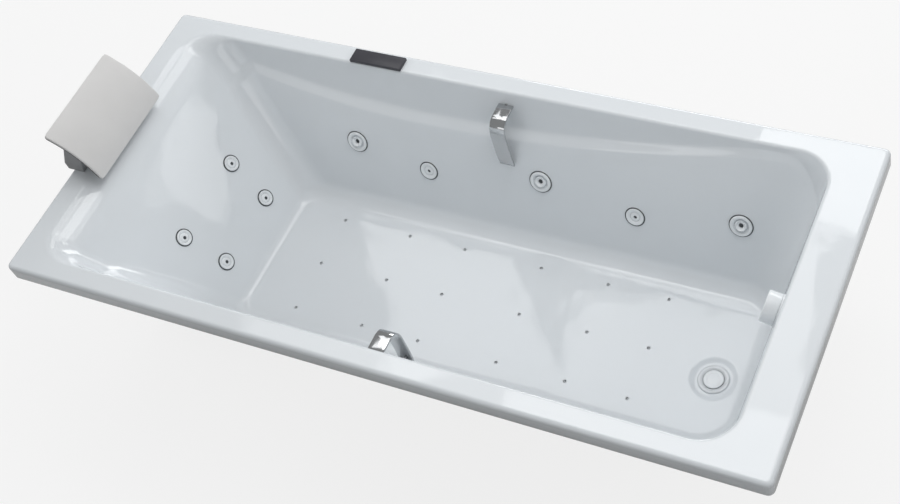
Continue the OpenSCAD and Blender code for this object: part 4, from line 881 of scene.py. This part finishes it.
def set_jets():
    """Five jets in each long wall, large and small by turns, and four small ones in the backrest."""
    bezel, ball, disc = jet_bezel(), jet_ball(), jet_disc()
    shade_ring = {r: jet_painted_shade(r) for r in (BIG_JET_R, SMALL_JET_R, BACK_JET_R)}
    ring = {r: small_jet_ring(r) for r in (SMALL_JET_R, BACK_JET_R)}
    bezels, shade_rings, rings = [], [], []

    def small_jet(r, place):
        """A small jet with a dark ring of painted shade of this radius."""
        shade_rings.append(stand(twin(shade_ring[r], "shade_ring"), place))
        rings.append(stand(twin(ring[r], "ring"), place))
        n = len(rings)
        one = stand(twin(disc, f"nozzle_disc_{n}"), place)
        give(one, f"spinner_{n}", None, f"jet_spinner_{n}", slot="white_plastic")

    for side in (1, -1):
        for i, x in enumerate(JET_X):
            if i % 2 == 0:
                place = side_place(x, JET_UPPER, side)
                bezels.append(stand(twin(bezel, "bezel"), place))
                shade_rings.append(stand(twin(shade_ring[BIG_JET_R], "shade_ring"), place))
                tilt = Matrix.Rotation(math.radians(-side * BALL_TILT), 4, "X")
                n = len(bezels)
                one = stand(twin(ball, f"nozzle_ball_{n}"), side_place(x, JET_UPPER, side, -BALL_SINK) @ tilt)
                give(one, f"ball_{n}", None, f"jet_ball_{n}", slot="white_plastic")
            else:
                small_jet(SMALL_JET_R, side_place(x, JET_LOWER, side))
    for y, d in BACK_JETS:
        small_jet(BACK_JET_R, back_place(y, d))
    give(joined("jet_bezel_set", *bezels), "tub", JET_WHITE, "jet_bezels", slot="white_plastic")
    # The dark rings round the jets are painted shade of the gaps round their flanges
    give(joined("jet_painted_shade_set", *shade_rings), "tub", JET_PAINTED_SHADE, slot="grey_plastic")
    give(joined("small_jet_ring_set", *rings), "tub", JET_WHITE, slot="white_plastic")
    for spare in (bezel, ball, disc, *shade_ring.values(), *ring.values()):
        bpy.data.objects.remove(spare, do_unlink=True)


set_jets()


# Waste and overflow

def set_waste():
    """The flange in the pressed dish and the plug that the knob lifts."""
    dish = rim_place(*WASTE, DEPTH + DISH_DEPTH)
    flange = turned("waste_flange", [
        (23.4, -31), (23.9, -31), (23.9, -0.2), (35.4, -0.2), (36, 0.8), (35.6, 2), (34.4, 2.8), (32.6, 3.1),
        (28.5, 2.7), (25.4, 1.9), (23.8, 1), (23.4, -0.5)], 72, ring=True)
    stand(flange, dish)
    give(flange, "tub", FLANGE_METAL, "drain_flange", slot="chrome_bright")
    plug = turned("waste_plug", [
        (0, -30), (5, -30), (5, -0.5), (21.6, 0), (22.6, 0.6), (22.9, 1.6), (22.6, 2.7), (21.6, 3.4),
        (19.4, 3.9), (16.5, 4), (15.2, 3.8), (14.6, 3.5), (13.8, 3.5), (8, 4), (0, 4.2)], 64)
    stand(plug, dish)
    give(plug, "plug", JET_WHITE, "drain_plug", slot="white_plastic")


def set_overflow():
    """The round overflow knob, with water slots in its lower side."""
    knob = turned("overflow_dial", [
        (0, -30), (6, -30), (6, 20), (29, 20), (29, 3.4), (33, 3.4), (34, 4.4), (34, 28.5), (33.7, 30.4),
        (32.8, 31.9), (31.4, 32.8), (29.4, 33), (24, 32.7), (12, 32.2), (0, 32)], 72)
    slots = []
    for q in range(-60, 61, 30):
        slot = drill(4, 0, 20, sides=24)
        turn = Matrix.Rotation(math.radians(180 + q), 4, "Z") @ Matrix.Translation((0.022, 0, 0.007))
        slots.append(stand(slot, turn @ Matrix.Rotation(math.pi / 2, 4, "Y")))
    carve(knob, slots)
    stand(knob, foot_place(0, OVERFLOW_DEPTH))
    give(knob, "knob", JET_WHITE, "overflow_knob", slot="white_plastic")


def set_air_nozzles():
    """Low pierced caps in the floor."""
    cap = turned("air_cap", [
        (3.2, -3), (3.2, -0.4), (4.7, -0.2), (4.7, 0.4), (4.2, 0.9), (3.2, 1.2), (1.9, 1.2), (1.4, 0.7),
        (1.3, -0.6), (0, -0.6)], 24)
    caps = [stand(twin(cap, "air_cap_copy"), rim_place(x, y, DEPTH)) for x in AIR_X for y in AIR_Y]
    bpy.data.objects.remove(cap, do_unlink=True)
    give(joined("air_cap_set", *caps), "tub", AIR_CAP, slot="grey_plastic")


set_waste()
set_overflow()
set_air_nozzles()


# Grips: a bent strap with rounded edges

def bezier(p, t):
    """A point of a curve with four control points."""
    w = ((1 - t) ** 3, 3 * (1 - t) ** 2 * t, 3 * (1 - t) * t * t, t ** 3)
    return tuple(sum(a * q[k] for a, q in zip(w, p)) for k in (0, 1))


def grip_line():
    """The strap's middle line as (distance from the middle, depth)."""
    nose = WIDTH / 2 - RIM_SIDE - GRIP_REACH
    top, bottom = GRIP_TOP, GRIP_BOTTOM
    wall = side_y(top) + stand_back(top, GRIP_X)
    bend = ((nose + 34, top), (nose + 8, top), (nose + 1, top + 16), (nose, top + 50))
    fall = ((nose, top + 50), (nose - 1, top + 90), (nose - 2, bottom - 26), (side_y(bottom) - 5, bottom))
    line = [(wall - 0.3, top), (mix(wall, nose + 34, 0.5), top)]
    line += [bezier(bend, i / 14) for i in range(15)]
    line += [bezier(fall, i / 12) for i in range(1, 13)]
    return line


def make_grip(name, side, node):
    """A strap drawn along its line, with a stud through the wall at each end."""
    line = grip_line()
    bpy.ops.object.select_all(action="DESELECT")
    start = Vector(((SHIFT_X + GRIP_X) * MM, side * line[0][0] * MM, (RIM_TOP - line[0][1]) * MM))
    bpy.ops.mesh.primitive_plane_add(size=GRIP_WIDTH * MM, location=start)
    strap = bpy.context.object
    strap.name = name
    bpy.ops.object.transform_apply(location=True, rotation=False, scale=False)
    edit(strap)
    bpy.ops.transform.resize(value=(1, 0, 1), center_override=start)
    bpy.ops.mesh.remove_doubles(threshold=0.00001)
    bpy.ops.mesh.select_all(action="SELECT")
    for before, after in zip(line, line[1:]):
        bpy.ops.mesh.extrude_edges_move()
        bpy.ops.transform.translate(
            value=(0, side * (after[0] - before[0]) * MM, (before[1] - after[1]) * MM))
    face_out(strap)
    apply(strap, "thickness", "SOLIDIFY", thickness=GRIP_THICKNESS * MM, offset=0.0, use_even_offset=True)
    round_edges(strap, GRIP_EDGE, 3, 50)
    face_out(strap)
    studs = []
    for d, high in ((GRIP_TOP, 3), (GRIP_BOTTOM - 8, 9)):
        stud = turned("stud", [(0, -20), (3.4, -20), (4, -19.4), (4, high), (0, high)], 24)
        tip = Matrix.Rotation(side * (math.pi / 2 - math.atan(LEAN_SIDE)), 4, "X")
        wall = side_y(d) + stand_back(d, GRIP_X)
        studs.append(stand(stud, rim_place(GRIP_X, side * wall, d) @ tip))
    give(joined(name, strap, *studs), "tub", CHROME, node, slot="chrome_bright", angle=35)


make_grip("grab_strap_far", 1, "grip_far")
make_grip("grab_strap_near", -1, "grip_near")


# Control panel: a low case with a flat touch plate let into its top

def make_panel():
    """The case with its neck through the rim, and the plate."""
    x, y = SHIFT_X + PANEL_X, WIDTH / 2 - PANEL_IN - PANEL_SIZE[1] / 2
    case = box("panel_case", (x * MM, y * MM, (RIM_TOP + PANEL_SIZE[2] / 2) * MM), PANEL_SIZE)
    edit(case)
    bpy.ops.mesh.bevel(offset=0.0016, segments=3, affect="EDGES")
    bpy.ops.mesh.select_all(action="DESELECT")
    done()
    for face in case.data.polygons:
        face.select = face.normal.z > 0.99
    bpy.ops.object.mode_set(mode="EDIT")
    bpy.ops.mesh.inset(thickness=0.0022)
    bpy.ops.mesh.extrude_region_move(TRANSFORM_OT_translate={"value": (0, 0, -0.0006)})
    bpy.ops.mesh.inset(thickness=0.0003)
    done()
    neck = drill(8, -32, 2)
    stand(neck, rim_place(PANEL_X, WIDTH / 2 - PANEL_NECK_IN, 0))
    give(joined("panel_case", case, neck), "tub", PANEL_DARK, "control_panel", slot="panel_dark")
    plate = box("panel_plate", (x * MM, y * MM, (RIM_TOP + PLATE_MIDDLE) * MM), PLATE_SIZE)
    edit(plate)
    bpy.ops.mesh.bevel(offset=0.0004, segments=2, affect="EDGES")
    done()
    give(plate, "tub", PANEL_GLASS, slot="panel_dark")


make_panel()


# Headrest: a crowned cushion on a thin dark layer that is painted shade along the pad's lower edges. Sizes
# across the pad are millimetres, places along it are shares of its length

PAD_LOW = (-796, 14)
PAD_HIGH = (-893, 139)
PAD_BOW = 17
PAD_LENGTH = 158
CORNER_IN = (9, 7)
CUSHION_HALF = 129.5
CUSHION_TOP = 5
CUSHION_RISE = 2
EDGE_SHADE_HALF = 129
SEAM_AT = 0.065
SEAM_REACH = 0.009
SEAM_DEPTH = 0.55
SEAM_END = 6


def pad_middle(u):
    """Middle line of the pad as (x, height over the rim) and its normal."""
    vx, vz = PAD_HIGH[0] - PAD_LOW[0], PAD_HIGH[1] - PAD_LOW[1]
    length = math.hypot(vx, vz)
    nx, nz = vz / length, -vx / length
    bow = PAD_BOW * 4 * u * (1 - u)
    slope = PAD_BOW * 4 * (1 - 2 * u) / length
    tx, tz = vx / length + nx * slope, vz / length + nz * slope
    size = math.hypot(tx, tz)
    return (PAD_LOW[0] + vx * u + nx * bow, PAD_LOW[1] + vz * u + nz * bow), (tz / size, -tx / size)


def bend_to_pad(obj):
    """Bends a flat piece, drawn with X across the bath and Y from 0 to 1 up the pad, over its line."""
    for point in obj.data.vertices:
        across, u, high = point.co
        (x, z), (nx, nz) = pad_middle(u)
        point.co = ((SHIFT_X + x + nx * high) * MM, across * MM, (RIM_TOP + z + nz * high) * MM)


def pad_block(name, half_width, low, high, cuts_across, cuts_along):
    """A flat block with rounded corners in the pad's own measures."""
    bpy.ops.object.select_all(action="DESELECT")
    bpy.ops.mesh.primitive_grid_add(x_subdivisions=cuts_across, y_subdivisions=cuts_along, size=2)
    block = bpy.context.object
    block.name = name
    for point in block.data.vertices:
        px, py = point.co.x * half_width, (point.co.y + 1) / 2 * PAD_LENGTH
        cx = max(CORNER_IN[0] - half_width, min(half_width - CORNER_IN[0], px))
        cy = max(CORNER_IN[1], min(PAD_LENGTH - CORNER_IN[1], py))
        dx, dy = px - cx, py - cy
        far = math.hypot(dx, dy)
        reach = max(abs(dx), abs(dy))
        if far > 0:
            dx, dy = dx * reach / far, dy * reach / far
        point.co = (cx + dx, (cy + dy) / PAD_LENGTH, low)
    edit(block)
    bpy.ops.mesh.extrude_region_move(TRANSFORM_OT_translate={"value": (0, 0, high - low)})
    face_out(block)
    return block


def crown(cushion):
    """Raises the top face towards its middle and sinks a seam line along the low edge."""
    for point in cushion.data.vertices:
        if point.co.z < CUSHION_TOP - 0.01:
            continue
        across = min(1, abs(point.co.x) / CUSHION_HALF)
        along = abs(2 * point.co.y - 1)
        point.co.z += CUSHION_RISE * (1 - across ** 4) * (1 - along ** 4)
        if abs(point.co.y - SEAM_AT) < SEAM_REACH and abs(point.co.x) < CUSHION_HALF - SEAM_END:
            point.co.z -= SEAM_DEPTH


def make_headrest():
    """The cushion, which is soft, and the thin dark layer under it, whose edge is painted shade."""
    cushion = pad_block("headrest_cushion", CUSHION_HALF, -2, CUSHION_TOP, 60, 60)
    crown(cushion)
    bend_to_pad(cushion)
    round_edges(cushion, 2, 3, 60)
    give(cushion, "headrest", PAD_SKIN, "headrest_pad", slot="pad_rubber", angle=60)
    # The dark layer shows only as painted shade along the cushion's edges
    edge_shade_layer = pad_block("headrest_edge_shade", EDGE_SHADE_HALF, -7, -2.4, 44, 30)
    bend_to_pad(edge_shade_layer)
    round_edges(edge_shade_layer, 1.2, 2, 60)
    give(edge_shade_layer, "headrest", PAD_EDGE_SHADE, slot="pad_rubber")


make_headrest()


# Finishes of the pieces that keep their construction shape

FINISHES = {
    BOARD: ["base_board"],
    BATTEN: ["rim_battens"],
    ZINC: ["frame_rails", "frame_cross_rails", "frame_posts", "equipment_trays", "foot_lock_nuts",
           "wall_brackets", "grip_nuts"],
    FOOT_BLACK: ["foot_1", "foot_2", "foot_3", "foot_4"],
    BRACKET_GREY: ["headrest_bracket"],
    PIPE_WHITE: ["waste_body", "trap", "overflow_elbow", "ring_main", "jet_water_pipes", "back_jet_pipes",
                 "suction_pipe", "air_pipes"],
    HOSE_GREY: ["overflow_hose", "jet_nuts"],
    JET_WHITE: ["overflow_faceplate", "jet_bodies_far", "jet_bodies_near", "jet_bodies_back", "suction_body",
                "suction_cover"],
    AIR_CAP: ["air_injectors"],
    NOZZLE_GREY: ["pump_impeller", "blower_fan"],
    CASING_BLACK: ["pump_casing", "blower_casing"],
    MOTOR_PAINT: ["pump_motor"],
    BOX_GREY: ["control_box"],
}
for material, names in FINISHES.items():
    for name in names:
        for slot in nodes[name].material_slots:
            slot.material = material


# Floor, light and camera

FLOOR_BOUNCE = 0.5
FLOOR_SEEN = 0.11
FLOOR_GLOW = 0.82
WORLD_FILL = 0.351
WORLD_SEEN = 0.55


def make_floor():
    """A pale sweep: the camera sees it evenly lit, and the bath gets its soft bounce light."""
    material = bpy.data.materials.new("studio_floor")
    material.use_nodes = True
    tree = material.node_tree
    shader = tree.nodes["Principled BSDF"]
    shader.inputs["Roughness"].default_value = 0.9
    shader.inputs["Specular IOR Level"].default_value = 0.1
    shader.inputs["Emission Color"].default_value = (1, 1, 1, 1)
    ray = tree.nodes.new("ShaderNodeLightPath")
    paint = tree.nodes.new("ShaderNodeMix")
    paint.data_type = "RGBA"
    paint.inputs["A"].default_value = (FLOOR_BOUNCE, FLOOR_BOUNCE, FLOOR_BOUNCE, 1)
    paint.inputs["B"].default_value = (FLOOR_SEEN, FLOOR_SEEN, FLOOR_SEEN, 1)
    tree.links.new(ray.outputs["Is Camera Ray"], paint.inputs["Factor"])
    tree.links.new(paint.outputs["Result"], shader.inputs["Base Color"])
    glow = sums(tree, ray.outputs["Is Camera Ray"], FLOOR_GLOW, "MULTIPLY")
    tree.links.new(glow, shader.inputs["Emission Strength"])
    bpy.ops.object.select_all(action="DESELECT")
    bpy.ops.mesh.primitive_plane_add(size=60)
    floor = bpy.context.object
    floor.name = "studio_floor"
    floor.data.materials.append(material)


def softbox(name, place, size, power, target=None, turn=0, glossy=True):
    """A soft lamp that faces its target, or straight down and turned by so many degrees.

    The camera doesn't see it, and without glossy nor do reflections.
    """
    light = bpy.data.lights.new(name, "AREA")
    light.shape = "RECTANGLE"
    light.size, light.size_y = size
    light.energy = power
    lamp = bpy.data.objects.new(name, light)
    lamp.location = place
    if target:
        lamp.rotation_euler = (Vector(target) - Vector(place)).to_track_quat("-Z", "Y").to_euler()
    else:
        lamp.rotation_euler = (0, 0, math.radians(turn))
    lamp.visible_camera = False
    lamp.visible_glossy = glossy
    bpy.context.scene.collection.objects.link(lamp)


def make_light():
    """The world's even fill, and lamps that were placed and set to match the photograph's tones."""
    bpy.context.scene.view_settings.view_transform = "Standard"
    world = bpy.data.worlds.new("studio")
    bpy.context.scene.world = world
    world.use_nodes = True
    tree = world.node_tree
    shade = tree.nodes["Background"]
    shade.inputs["Color"].default_value = (0.985, 0.995, 1, 1)
    # The camera sees the same pale tone past the floor's edge as on the floor
    ray = tree.nodes.new("ShaderNodeLightPath")
    seen = sums(tree, ray.outputs["Is Camera Ray"], WORLD_SEEN, "MULTIPLY")
    tree.links.new(sums(tree, seen, WORLD_FILL), shade.inputs["Strength"])
    # The two long boxes are the ones whose images lie on the bath's floor
    softbox("middle_box", (-1.77, 1.75, 3.6), (0.72, 1.7), 5.6, turn=42)
    softbox("right_box", (-0.41, 1.4, 3.6), (1.3, 1.5), 10, turn=12)
    softbox("corner_box", (0.1, 2.5, 3.6), (0.9, 0.6), 4.7)
    softbox("rim_card", (-0.55, 0.95, 3.55), (3.5, 0.55), 8)
    softbox("top_box", (1, 0.5, 3.4), (1.6, 1.0), 24, target=(0.2, 0, 0.3), glossy=False)
    softbox("foot_card", (3.3, 0.3, 2.3), (1.5, 1.5), 14, target=(-0.7, 0, 0.4), glossy=False)
    softbox("far_box", (0, 3.8, 1.9), (3.2, 1.2), 54, target=(0, 0, 0.4))
    softbox("head_box", (-3.6, 0.6, 2.2), (1.6, 1.2), 21, target=(0, 0, 0.4), glossy=False)
    softbox("near_box", (-0.4, -3.6, 1.6), (2.4, 1.0), 8, target=(0, 0, 0.4))
    softbox("back_card", (3.4, 2.1, 1.95), (0.6, 0.5), 1.2, target=(-0.7, 0.1, 0.4))


def make_camera():
    """The place and turn that were found from the photograph's lines."""
    right = Vector((0.90301131, 0.38384009, -0.19296982))
    up = Vector((-0.2165372, 0.79458444, 0.56722766))
    back = Vector((0.37105553, -0.47042785, 0.8006344))
    data = bpy.data.cameras.new("photo_view")
    data.lens = 57.59
    data.sensor_width = 36
    data.shift_x = -0.1056
    data.clip_end = 200
    camera = bpy.data.objects.new("photo_view", data)
    turn = Matrix((right, up, back)).transposed().to_4x4()
    place = Vector((1.399019 + SHIFT_X * MM, -1.434134, 2.384473 + RIM_TOP * MM))
    camera.matrix_world = Matrix.Translation(place) @ turn
    bpy.context.scene.collection.objects.link(camera)
    bpy.context.scene.camera = camera


make_floor()
make_light()
make_camera()
